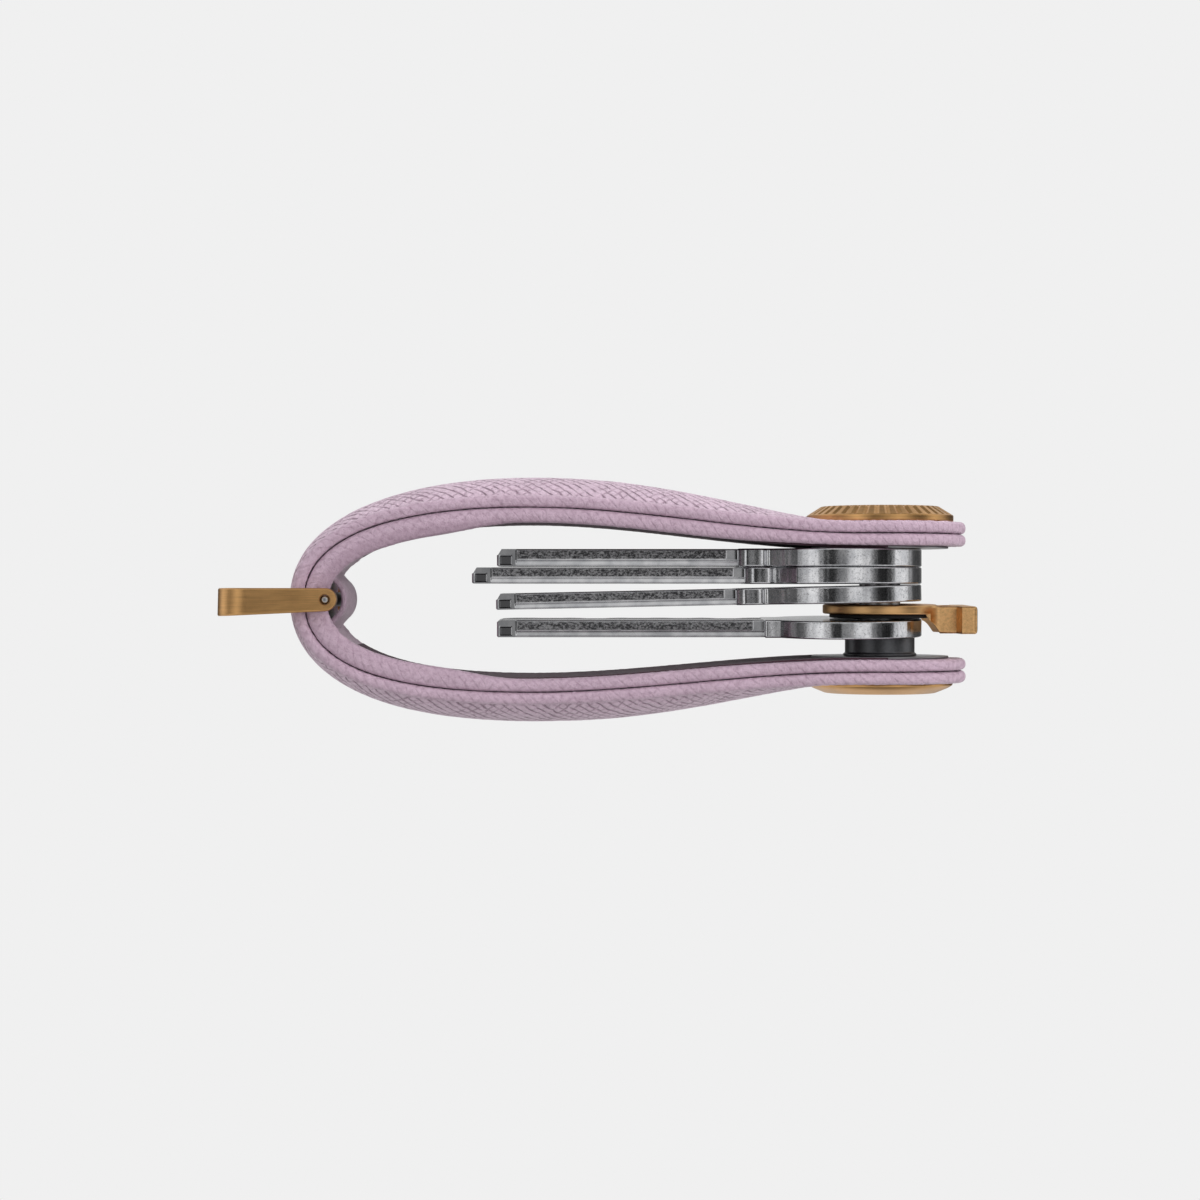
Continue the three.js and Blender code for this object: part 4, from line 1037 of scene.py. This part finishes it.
def shackle():
    """Arm, corner, cross bar, corner, arm at the band's middle line. The height is a straight taper of
    the distance from the pin, and beyond the pin sqrt(r^2 - d^2)."""
    y = SHACKLE_IN + SHACKLE_THICK / 2
    radius = SHACKLE_CORNER - SHACKLE_THICK / 2
    far = PIN_X - SHACKLE_REACH + SHACKLE_THICK / 2
    ease = np.sin(np.linspace(0, np.pi / 2, EYE_STEPS))
    eye = np.stack([PIN_X + EYE_R * ease[::-1], np.full(EYE_STEPS, -y)], -1)
    arm = np.linspace((PIN_X, -y), (far + radius, -y), 60)[1:]
    bend = np.linspace(-np.pi / 2, -np.pi, 28)[1:]
    corner = np.stack([far + radius + radius * np.cos(bend), -y + radius + radius * np.sin(bend)], -1)
    half = np.concatenate([eye, arm, corner, np.linspace(corner[-1], (far, 0), 40)[1:]])
    path = np.concatenate([half, half[-2::-1] * (1, -1)])
    way = np.gradient(path, axis=0)
    way[:EYE_STEPS] = (-1, 0)
    way[-EYE_STEPS:] = (1, 0)
    way /= np.linalg.norm(way, axis=1, keepdims=True)
    outward = np.stack([-way[:, 1], way[:, 0]], -1)
    place = np.r_[0, np.cumsum(np.hypot(*np.diff(path, axis=0).T))]
    distance = PIN_X - path[:, 0]
    taper = EYE_R + (BAR_HALF - EYE_R) * np.clip(distance / SHACKLE_REACH, 0, 1)
    height = np.where(distance < 0, np.sqrt(np.maximum(EYE_R**2 - distance**2, 0)), taper)
    side, cos, level, sin = rounded_ring(7)
    across = side * (SHACKLE_THICK / 2 - BAND_ROUND) + BAND_ROUND * cos
    corner_r = np.minimum(BAND_ROUND, height)[:, None]
    z = level * (height[:, None] - corner_r) + corner_r * sin
    x = path[:, :1] + outward[:, :1] * across - PIN_X
    hanging_y = path[:, 1:] + outward[:, 1:] * across
    hanging_x = PIN_X + x * math.cos(DROOP) + z * math.sin(DROOP)
    hanging_z = MID_Z + x * math.sin(DROOP) + z * math.cos(DROOP)
    points = np.stack([hanging_x, hanging_y, hanging_z], -1)
    flow = np.stack([np.broadcast_to(place[:, None], x.shape), z, np.broadcast_to(across, x.shape)], -1)
    faces = cells(*x.shape, wrap_columns=True)
    return solid("shackle_band", points, faces, {"band_mm": flow}, weld=0.004, sharp=40)


band = shackle()
for side in (-1, 1):
    outer_y = side * (SHACKLE_IN + SHACKLE_THICK)
    mouth = [(0, outer_y + side), (0.72, outer_y + side), (0.66, outer_y), (0.52, outer_y - 0.2 * side)]
    deep = [(0.52, outer_y - 3 * side), (0, outer_y - 3 * side)]
    combine(band, side_turned("hole_tool", mouth + deep, 40), sharp=40)
finish_piece(band, "shackle", "brass", brushed_brass, "shackle")

# %% [markdown]
# ## The clamp
#
# A post stands on the lower strap end, a spacer and the keys sit on it, and a screw comes down through
# the upper end. All of these are turned pieces, so each one is a profile and a call, and its heights come
# from its CAD node.

# %% Post, cap, plates, spacer and washer
cap_low, cap_high = (corner[2] for corner in box_mm("lower_cap"))
cap_profile = eased(
    [(0, cap_low), (6.45, cap_low), (8.0, cap_high - 0.62), (8.5, cap_high - 0.3), (8.5, cap_high),
     (2.47, cap_high), (2.47, cap_low + 0.37), (0, cap_low + 0.37)],
    [0, 0.25, 0.3, 0.16, 0.08, 0.08, 0.05, 0],
)
finish_piece(lathe("cap", cap_profile, segments=160), "lower_strap", "brass", turned_brass, "lower_cap")

post_low, post_high = (corner[2] for corner in box_mm("post"))
post_profile = eased(
    [(0, post_low), (2.4, post_low), (2.4, post_high), (1.9, post_high), (1.9, post_low + 4),
     (0, post_low + 3)],
    [0, 0.1, 0.12, 0.12, 0.1, 0],
)
finish_piece(lathe("post_barrel", post_profile), "lower_strap", "post_steel", turned_steel, "post")

for word, hole in (("lower", 2.47), ("upper", 2.9)):
    low, high = (corner[2] for corner in box_mm(f"{word}_plate"))
    profile = eased([(hole, low), (8.0, low), (8.0, high), (hole, high)], 0.07, closed=True)
    finish_piece(lathe(f"{word}_disc", profile, segments=160), f"{word}_strap", "plate_steel", plate_steel,
                 f"{word}_plate")

spacer_low, spacer_high = (corner[2] for corner in box_mm("spacer"))
spacer_profile = eased(
    [(2.5, spacer_low), (4.3, spacer_low), (4.3, spacer_low + 0.2), (4.08, spacer_low + 0.34),
     (4.08, spacer_high), (2.5, spacer_high)],
    [0.1, 0.06, 0.1, 0.1, 0.12, 0.1],
    closed=True,
)
finish_piece(lathe("spacer_bush", spacer_profile), "lower_strap", "spacer_grey", spacer_grey, "spacer")

place_washer, _, washer_thick = seat("friction_washer")
washer_profile = eased([(2.65, 0), (5.9, 0), (5.9, washer_thick), (2.65, washer_thick)], 0.1, closed=True)
finish_piece(lathe("black_washer", washer_profile, place=place_washer), "tab", "washer_rubber", rubber,
             "friction_washer")

# %% [markdown]
# ## The knob
#
# The knob is a turned disc with a bevel, and forty short flutes are pressed into the bevel for the thumb.
# The flutes need no cutting tool: the lathe's shape rule moves each point in by a depth that depends on
# its angle. A coin slot is cut afterwards with a chamfering tool, because a slot doesn't follow the
# turning.

# %% Knob
knob_low, knob_high = (corner[2] for corner in box_mm("knob"))
KNOB_R = 8.6
KNOB_TOP_R = 6.85
FLUTES = 40
FLUTE_HALF = 0.32
FLUTE_DEPTH = 0.17
rim_low = knob_high - 1.85
rim_high = rim_low + 0.75


def knob_profile():
    """Boss, underside, rim, bevel and top face. The bevel is sampled finely, because the flutes are cut
    in it."""
    boss = [(0, knob_low), (2.8, knob_low), (2.8, rim_low), (KNOB_R, rim_low), (KNOB_R, rim_high)]
    head = eased(boss + [(KNOB_TOP_R, knob_high), (0, knob_high)], [0, 0.1, 0.1, 0.14, 0.1, 0.16, 0])
    out = [head[0]]
    for here, there in zip(head[:-1], head[1:]):
        length = np.hypot(*(there - here))
        near_flute = here[0] > KNOB_TOP_R - 1 and here[1] > rim_low + 0.3
        out.extend(np.linspace(here, there, max(2, int(length / 0.09) + 1 if near_flute else 2))[1:])
    return np.array(out)


def flute(r, z, angle):
    """Presses each flute in along the bevel's normal: a narrow V round the knob, 1 - |distance| / half
    width, times a window that opens at the rim's upper edge and closes just inside the top face."""
    slope = math.atan2(knob_high - rim_high, KNOB_R - KNOB_TOP_R)
    off = (angle * FLUTES / (2 * np.pi) + 0.5) % 1 - 0.5
    distance = off * (2 * np.pi / FLUTES) * r
    pulse = np.clip(1 - np.abs(distance) / FLUTE_HALF, 0, 1)
    window = smooth((z - rim_high - 0.02) / 0.16) * smooth((r - KNOB_TOP_R + 0.42) / 0.3)
    depth = FLUTE_DEPTH * pulse * window
    return r - depth * math.sin(slope), z - depth * math.cos(slope)


knob = lathe("fluted_knob", knob_profile(), segments=FLUTES * 24, shape=flute)


def slot_tool(half_length, half_width, floor, top, chamfer):
    """A rounded bar whose sides flare just under the surface, so the cut leaves a chamfered edge."""
    turn = np.linspace(0, 2 * np.pi, 48, endpoint=False)
    levels = [(floor, 0), (top - chamfer, 0), (top, chamfer), (top + 0.6, chamfer + 0.6)]
    rings = []
    for z, grow in levels:
        radius = half_width + grow
        x = np.sign(np.cos(turn)) * (half_length - half_width) + radius * np.cos(turn)
        rings.append(np.stack([POST_X + x, radius * np.sin(turn), np.full(48, z)], -1))
    rings = capped(np.stack(rings))
    return solid("slot_tool", rings, cells(len(rings), 48, wrap_columns=True))


combine(knob, slot_tool(5.85, 0.85, knob_high - 0.7, knob_high, 0.12), sharp=40)
finish_piece(knob, "screw", "brass", turned_brass, "knob")

# %% [markdown]
# ## The screw
#
# The screw's thread is a helix. On a turned grid the groove's depth depends on the height minus the turn,
# so one grid makes a true spiral, and no thread has to be swept or cut.

# %% Screw shaft
SHAFT_R = 1.55
PITCH = 1.0
THREAD_DEPTH = 0.22
shaft_low, shaft_high = (corner[2] for corner in box_mm("screw_shaft"))


def thread(r, z, angle):
    """A helical groove: depth is a triangle wave of (height / pitch - turn), faded at both ends of the
    thread."""
    turn = (z / PITCH - angle / (2 * np.pi)) % 1
    groove = 1 - np.abs(2 * turn - 1)
    window = smooth((z - shaft_low - 0.1) / 0.4) * smooth((shaft_high - 1.6 - z) / 0.4)
    return r - THREAD_DEPTH * groove * window * (r > 1.2), z + 0 * angle


side_heights = np.linspace(shaft_low + 0.12, shaft_high - 0.1, 90)
side = np.stack([np.full(len(side_heights), SHAFT_R), side_heights], -1)
ends = [(0, shaft_low), (1.3, shaft_low)], [(1.4, shaft_high), (0, shaft_high)]
shaft_profile = np.concatenate([ends[0], side, ends[1]])
finish_piece(lathe("screw", shaft_profile, segments=64, shape=thread), "screw", "post_steel", turned_steel,
             "screw_shaft")

# %% [markdown]
# ## Key heads
#
# A key is a head and a blade. The head is a plate with a hole: its outline is walked once, and at each
# step a section runs from the hole to the rim and back, so the whole plate is one grid closed both ways.
# Three keys have a stepped shield head and one has a round head, and only the outline differs.

# %% Key head
def dense(corners, step=0.25):
    """Adds points along each side so that none is longer than step."""
    out = []
    closed = np.concatenate([corners, corners[:1]])
    for here, there in zip(closed[:-1], closed[1:]):
        count = max(1, int(np.ceil(np.linalg.norm(there - here) / step)))
        out.append(here + (there - here) * np.linspace(0, 1, count, endpoint=False)[:, None])
    return np.concatenate(out)


def head_outline(kind, shoulder):
    """The head seen from above, with the hole at the origin: an arc, and a stepped or a plain neck."""
    radius = 9.15 if kind == "round" else 9.75
    centre = 4.85 - radius
    neck = 4.9
    leave = math.pi - math.asin(neck / radius) - (0 if kind == "round" else 0.45)
    arc = np.linspace(-leave, leave, 120)
    arc = np.stack([centre + radius * np.cos(arc), radius * np.sin(arc)], -1)
    if kind == "round":
        side = np.array([(-shoulder, neck)])
    else:
        ear = [(3.5, 5.15), (2.9, 5.65), (0.9, 5.5), (0, 4.7)]
        side = np.array([(x - shoulder, y) for x, y in ear])
    corners = np.concatenate([arc, side, side[::-1] * (1, -1)])
    radii = np.r_[np.zeros(len(arc)), np.full(2 * len(side), 0.35)]
    return dense(eased(corners, radii, steps=4, closed=True))


def head_plate(name, kind, shoulder, thick, place):
    """Section: from the hole's wall over a small chamfer, out across the top, round the rim, and back
    below. A point is hole + (outline - hole) x share, moved in from the rim by the rim radius along the
    normal. Each outline point's partner on the hole sits half way between its true bearing and an even
    spread, so that the partners never run backwards where the neck's ears overhang."""
    outline = head_outline(kind, shoulder)
    way = np.roll(outline, -1, 0) - np.roll(outline, 1, 0)
    normal = np.stack([way[:, 1], -way[:, 0]], -1) / np.linalg.norm(way, axis=1, keepdims=True)
    bearing = np.unwrap(np.arctan2(outline[:, 1], outline[:, 0]))
    bearing = (bearing + bearing[0] + np.linspace(0, 2 * np.pi, len(outline), endpoint=False)) / 2
    radial = np.stack([np.cos(bearing), np.sin(bearing)], -1)
    r = 0.2
    turn = np.linspace(np.pi / 2, 0, 5)[:-1]
    over = [(1.0, r - r * math.cos(t), thick - r + r * math.sin(t)) for t in turn]
    wall = [(1.0, 0, z) for z in (thick - r, thick - r - 0.05, thick / 2, r + 0.05, r)]
    under = [(1.0, r - r * math.cos(t), r - r * math.sin(t)) for t in turn[::-1]]
    top = [(share, r, thick) for share in (0.1, 0.35, 0.65, 0.9)]
    below = [(share, r, 0) for share in (0.9, 0.65, 0.35, 0.1)]
    mouth = [(0.0, 0, 0.15), (0.0, 0, thick - 0.15), (0.0, -0.15, thick)]
    section = [*mouth, *top, *over, *wall, *under, *below, (0.0, -0.15, 0)]
    rows = []
    for share, inset, z in section:
        hole = radial * (HOLE_R - (inset if share == 0 else 0))
        rim_point = outline - normal * (inset if share > 0 else 0)
        flat = hole + (rim_point - hole) * share
        rows.append(np.c_[flat, np.full(len(flat), z)])
    local = np.stack(rows, 1)
    return solid(name, place(local), cells(*local.shape[:2], wrap_rows=True, wrap_columns=True), sharp=40)


# %% [markdown]
# ## Key blades
#
# The blade is a grooved bar whose section is carried along its length. The cuts simply limit how far out
# each section goes, so their slopes come out flat, as a cutter leaves them. Near the tip the edge is
# stepped in and has a small sunk window. At the end the finish of every point is written to an attribute,
# for the nickel to read.

# %% Key blade
BLADE_HALF = 4.0
TIP = 2.3
BITS = {"key_1": (0.5, 0.9, 0.35, 0.7, 0.55), "key_2": (0.8, 0.4, 0.95, 0.6, 0.3),
        "key_3": (0.3, 0.65, 0.85, 0.45, 0.75), "key_4": (0.9, 0.55, 0.4, 0.85, 0.5)}


def blade_section(thick):
    """The keyway, seen along the blade: a wide groove above, one below, and a milled step on the near
    edge."""
    groove = thick * 0.3
    low, high = 0.04, thick - 0.04
    step = thick * 0.37
    corners = [
        (-3.55, low), (-1.6, low), (-1.2, groove), (0.4, groove), (0.8, low),
        (4.0, low), (4.0, high), (2.9, high), (2.5, high - groove), (1.2, high - groove),
        (0.8, high), (-1.9, high), (-2.2, high - groove / 2), (-2.9, high - groove / 2), (-3.1, high),
        (-4.0, high), (-4.0, step), (-3.87, step - 0.06), (-3.99, low + 0.1), (-3.95, low),
    ]
    radii = [0.04] * 5 + [0.12] * 2 + [0.05] * 8 + [0.12, 0.05, 0.04, 0.06, 0.06]
    return dense(eased(corners, radii, steps=3, closed=True), 0.16)


def blade(name, shoulder, length, thick, bits, corner, place):
    """Stations along the blade. The far edge is limited by the cuts, the near edge by the tip's slant:
    y = min(y, cut(x)) and y = max(y, tip(x)). At the end the section shrinks to close the bar."""
    section = blade_section(thick)
    x = np.r_[np.arange(shoulder - 6, length - 3.2, 0.12), np.linspace(length - 3.2, length - 0.14, 60)]
    pitch = (length - shoulder - 5) / len(bits)
    edge = np.full(len(x), BLADE_HALF)
    for k, share in enumerate(bits):
        middle = shoulder + 1.4 + pitch * (k + 0.5)
        away = np.maximum(np.abs(x - middle) - 0.2 * pitch, 0)
        edge = np.minimum(edge, BLADE_HALF - 2.2 * share + away * 1.0)
    edge = np.minimum(edge, BLADE_HALF - 2.6 * np.clip((x - length + 2.2) / 2.2, 0, 1))
    from_tip = (length - x)[:, None]
    on_near = section[None, :, 0] < -3.6
    y = np.clip(section[None, :, 0], -BLADE_HALF, edge[:, None])
    y = np.where(on_near, y + (-3.98 - y) * smooth((TIP - from_tip) / 0.12), y)
    roof = thick - 0.04 - corner * np.clip(1 - from_tip / 0.55, 0, 1)
    z = np.minimum(section[None, :, 1], roof)
    window = smooth((from_tip - 0.32) / 0.1) * smooth((1.72 - from_tip) / 0.1)
    window = window * smooth((z - 0.2) / 0.08) * smooth((thick * 0.62 - z) / 0.08) * on_near
    y = y + 0.2 * window
    local = np.stack([np.broadcast_to(-x[:, None], y.shape), y, z], -1)
    last = local[-1:] * (1, 0.96, 1) + (-0.14, 0, 0)
    last[..., 2] = thick / 2 + (last[..., 2] - thick / 2) * 0.86
    local = capped(np.concatenate([local, last]))
    return solid(name, place(local), cells(*local.shape[:2], wrap_columns=True), weld=0.001, sharp=40)


def mark_key(key, back, length, shoulder, thick):
    """Writes where each point lies on the key (key_mm), and its finish: x the mill's rough band on the
    near edge, y the tumbled head, z the sunk window at the tip. It is done last, when head and blade
    are one mesh."""
    points = np.empty(len(key.data.vertices) * 3)
    key.data.vertices.foreach_get("co", points)
    local = back(points.reshape(-1, 3) / MM)
    x, y, z = local.T
    from_tip = length + x
    band = (y < -3.9) * smooth((-x - shoulder - 1.2) / 0.2) * smooth((from_tip - TIP) / 0.12)
    band = band * smooth((z - thick * 0.4) / 0.06) * smooth((thick - 0.13 - z) / 0.06)
    window = (np.abs(y + 3.78) < 0.12) * smooth((from_tip - 0.3) / 0.1) * smooth((1.76 - from_tip) / 0.1)
    window = window * smooth((z - 0.18) / 0.06) * smooth((thick * 0.64 - z) / 0.06)
    head = smooth((shoulder + 0.4 + x) / 0.8)
    for label, values in (("key_mm", local), ("key_finish", np.stack([band, head, window], -1))):
        layer = key.data.attributes.new(label, "FLOAT_VECTOR", "POINT")
        layer.data.foreach_set("vector", values.astype(np.float32).reshape(-1))


for name, kind, length, shoulder in (
    ("key_1", "shield", 44.9, 17.0),
    ("key_2", "shield", 47.8, 16.2),
    ("key_3", "shield", 45.0, 17.2),
    ("key_4", "round", 44.9, 13.9),
):
    place, back, thick = seat(name)
    key = head_plate(f"{name}_cut", kind, shoulder, thick, place)
    corner = 0.9 if kind == "shield" else 0.15
    combine(key, blade("blade", shoulder, length, thick, BITS[name], corner, place), "UNION", sharp=40)
    mark_key(key, back, length, shoulder, thick)
    finish_piece(key, name, "key_steel", key_metal, name)

# %% [markdown]
# ## The fob tab
#
# The tab is a ring on the post with an arm that steps down beside the key below it and ends in a cross
# bar. The ring is turned, and the arm is a rounded section carried outwards while its width and its
# underside change. They are joined, and the slot behind the bar is cut with a chamfering tool.

# %% Tab
TAB_THICK = 1.1
TAB_REACH = 10.8
TAB_R = 6.7
ARM_HALF = 3.2
BAR_HALF_Y = 5.3
BAR_START = 8.6
BAR_HEIGHT = 3.2
POCKET_R = 6.1


def arm(thick, place):
    """Width: a fillet tangent to the ring, a straight neck, and an eased flare to the bar. Underside:
    level inside the washer's pocket, a slope of 1.2 mm outside it, and the bar's foot beyond. Every
    corner has a radius."""
    r = 0.34
    reach = TAB_REACH - r
    nose = reach + r * np.sin(np.linspace(0.1, np.pi / 2, 10))
    x = np.r_[np.linspace(3.4, BAR_START, 100), np.linspace(BAR_START + 0.03, reach, 60), nose]
    shrink = r - np.sqrt(np.maximum(r**2 - np.maximum(x - reach, 0) ** 2, 0))
    fillet = np.sqrt(np.maximum(1.5**2 - np.clip(6.72 - x, 0, 1.23) ** 2, 0))
    width = np.where(x < 6.72, 4.7 - fillet, ARM_HALF)
    width = width + (BAR_HALF_Y - ARM_HALF) * smooth((x - BAR_START) / 0.34)
    width = width - 0.25 * np.clip((x - TAB_REACH + 0.6) / 0.6, 0, 1) ** 2 - shrink
    bar_top = thick - 0.15
    high = bar_top + 0.15 * (1 - smooth((x - 5.3) / 1.5)) - shrink
    side, cos, level, sin = rounded_ring(8, 24, 6)
    y = side * (width[:, None] - r) + r * cos
    away = np.hypot(x[:, None], y)
    foot = bar_top - BAR_HEIGHT
    low = foot * np.clip((away - POCKET_R) / 1.2, 0, 1) + shrink[:, None]
    share = (level + 1) / 2
    z = (low + r) + share * (high[:, None] - low - 2 * r) + r * sin
    local = capped(np.stack([np.broadcast_to(x[:, None], y.shape), y, z], -1))
    return solid("arm", place(local), cells(*local.shape[:2], wrap_columns=True), weld=0.003, sharp=50)


place_tab, _, _ = seat("fob_tab")
ring_corners = [(HOLE_R, 0), (TAB_R, 0), (TAB_R, TAB_THICK), (HOLE_R, TAB_THICK)]
ring_profile = eased(ring_corners, 0.26, closed=True, steps=7)
tab = lathe("brass_tab", ring_profile, segments=160, place=place_tab)
combine(tab, arm(TAB_THICK, place_tab), "UNION", sharp=50)


def tab_slot():
    """The slot runs across the arm, just behind the cross bar."""
    turn = np.linspace(0, 2 * np.pi, 40, endpoint=False)
    middle = BAR_START - 0.15 - 0.65
    rings = []
    for z, grow in [(-4, 0.4), (-2.4, 0.1), (-2.0, 0), (0.78, 0), (0.98, 0.18), (2.0, 1.2)]:
        radius = 0.62 + grow
        y = np.sign(np.sin(turn)) * 1.45 + radius * np.sin(turn)
        rings.append(np.stack([middle + radius * np.cos(turn), y, np.full(40, z)], -1))
    rings = capped(np.stack(rings))
    return solid("slot_tool", place_tab(rings), cells(len(rings), 40, wrap_columns=True))


combine(tab, tab_slot(), sharp=50)
finish_piece(tab, "tab", "brass", blasted_brass, "fob_tab")

# %% [markdown]
# ## Hidden steel
#
# Two spring strips and two eyelets sit inside the leather. Their CAD shape is right, so they only get a
# finish.

# %% CAD pieces that stay
for node in ("stiffener_upper", "stiffener_lower", "lower_eyelet", "upper_eyelet"):
    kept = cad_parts[node]
    kept.data.materials.clear()
    kept.data.materials.append(spring_steel if "stiffener" in node else plate_steel)

# %% [markdown]
# ## Camera
#
# The camera stands level with the organiser and far off, with a long lens, so that the strap shows its
# side and hardly any perspective. The lens is shifted a little, which moves the picture without tilting
# the camera.

# %% Camera
PALE = from_screen(240, 240, 240)
DISTANCE = 290.0
VIEW_HEIGHT = 15.2
camera_data = bpy.data.cameras.new("camera")
camera_data.sensor_width = 36
camera_data.lens = 73.9
camera_data.clip_start = 0.001
camera_data.clip_end = 50
camera = bpy.data.objects.new("camera", camera_data)
camera.location = (0, -DISTANCE * MM, VIEW_HEIGHT * MM)
camera.rotation_euler = (math.pi / 2, 0, 0)
camera_data.shift_y = (14.18 - VIEW_HEIGHT) / DISTANCE * camera_data.lens / camera_data.sensor_width
bpy.context.scene.collection.objects.link(camera)
bpy.context.scene.camera = camera

# %% [markdown]
# ## Floor and world
#
# A product on white needs an even ground, so the floor and the world glow with the same pale grey. Metal
# shows what surrounds it, and an all-white room would make it look flat. So shiny surfaces see something
# else: a ring of bright and dark cards, as a maker would stand round a small object. The list gives each
# card's bearing in degrees, where 0 is the camera, and its brightness. The bands on the key heads are
# these cards.

# %% Floor
FLOOR_HALF = 6000
corners = [(x, y, 0) for x in (-FLOOR_HALF, FLOOR_HALF) for y in (-FLOOR_HALF, FLOOR_HALF)]
floor = solid("floor", corners, [(0, 2, 3, 1)])
tree = Tree("pale_floor", roughness=0.9)
seen_directly = tree.add("LightPath")
power = tree.math("MULTIPLY_ADD", seen_directly, 0.25, 0.75)
glow = tree.add("Emission", {"Color": PALE, "Strength": power})
tree.links.new(glow, tree.output.inputs["Surface"])
floor.data.materials.append(tree.material)
floor.visible_glossy = False
floor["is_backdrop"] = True

# %% World
CARDS = [
    (-180, 0.5), (-172, 0.3), (-155, 0.05), (-128, 0.08), (-112, 0.9), (-94, 0.9), (-80, 0.1),
    (-68, 0.1), (-48, 0.8), (-38, 1.0), (-24, 0.1), (-16, 0.0), (-9, 0.03), (-4, 0.26),
    (5, 0.3), (22, 1.0), (31, 0.7), (43, 0.2), (52, 0.03), (64, 0.0), (72, 0.1),
    (86, 0.9), (97, 0.9), (112, 0.3), (124, 0.08), (146, 0.04), (160, 0.2), (180, 0.5),
]
CARD_POWER = 1.2
HIGHER = [([(0.25, 0.0), (0.4, 1.0)], 0.66), ([(0.76, 0.0), (0.88, 1.0)], 0.22)]

world = bpy.data.worlds.new("studio")
bpy.context.scene.world = world
world.use_nodes = True
sky = Nodes(world.node_tree)
way = sky.add("SeparateXYZ", {0: sky.add("TexCoord")})
bearing = sky.math("ARCTAN2", way, sky.math("MULTIPLY", way.node.outputs[1], -1.0))
bearing = sky.math("MULTIPLY_ADD", bearing, 0.5 / math.pi, 0.5)
around = sky.ramp(bearing, *[(0.5 + degrees / 360, grey) for degrees, grey in CARDS])
height = sky.math("ABSOLUTE", way.node.outputs[2])
for stops, grey in HIGHER:
    around = sky.mix(sky.ramp(height, *stops), around, (grey, grey, grey))

rays = sky.add("LightPath").node.outputs
even = sky.add("Background", {"Color": (0.46, 0.46, 0.47)})
cards = sky.add("Background", {"Color": around, "Strength": CARD_POWER})
seen = sky.add("Background", {"Color": PALE})
lit = sky.add("MixShader", {0: rays["Is Glossy Ray"], 1: even, 2: cards})
shown = sky.add("MixShader", {0: rays["Is Camera Ray"], 1: lit, 2: seen})
output = sky.nodes.new("ShaderNodeOutputWorld")
sky.links.new(shown, output.inputs["Surface"])
print(f"{len(CARDS)} stops round the object")

# %% [markdown]
# ## Lamps
#
# Leather and suede take their shape from soft lamps: a large one above, a weaker one on each side in
# front. The cards already make the reflections, so the lamps are hidden from shiny surfaces, and each can
# be set alone.

# %% Lamps
def lamp(name, place, aim, size, power):
    """A rectangular soft lamp at place, turned to face aim. All lengths are in millimetres."""
    data = bpy.data.lights.new(name, "AREA")
    data.shape = "RECTANGLE"
    data.size, data.size_y = (side * MM for side in size)
    data.energy = power
    made = bpy.data.objects.new(name, data)
    made.visible_glossy = False
    place, aim = Vector(place) * MM, Vector(aim) * MM
    facing = (aim - place).to_track_quat("-Z", "Y").to_matrix().to_4x4()
    made.matrix_world = Matrix.Translation(place) @ facing
    bpy.context.scene.collection.objects.link(made)
    return made


lamp("top", (0, 60, 500), (0, 0, 10), (700, 500), 1.9)
lamp("front_left", (-420, -380, 260), (0, 0, 12), (300, 360), 0.8)
lamp("front_right", (460, -300, 160), (10, 0, 12), (220, 300), 1.8)

view = bpy.context.scene.view_settings
view.view_transform = "Standard"
view.look = "None"

# %% [markdown]
# ## Sizes
#
# Finally we print the CAD model's box and the visual model's box, so that the two can be compared.

# %% Print the two boxes and finish
visual_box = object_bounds()
for label, found in (("CAD", CAD_BOX), ("visual", visual_box)):
    print(label, [[round(value / MM, 2) for value in corner] for corner in found])
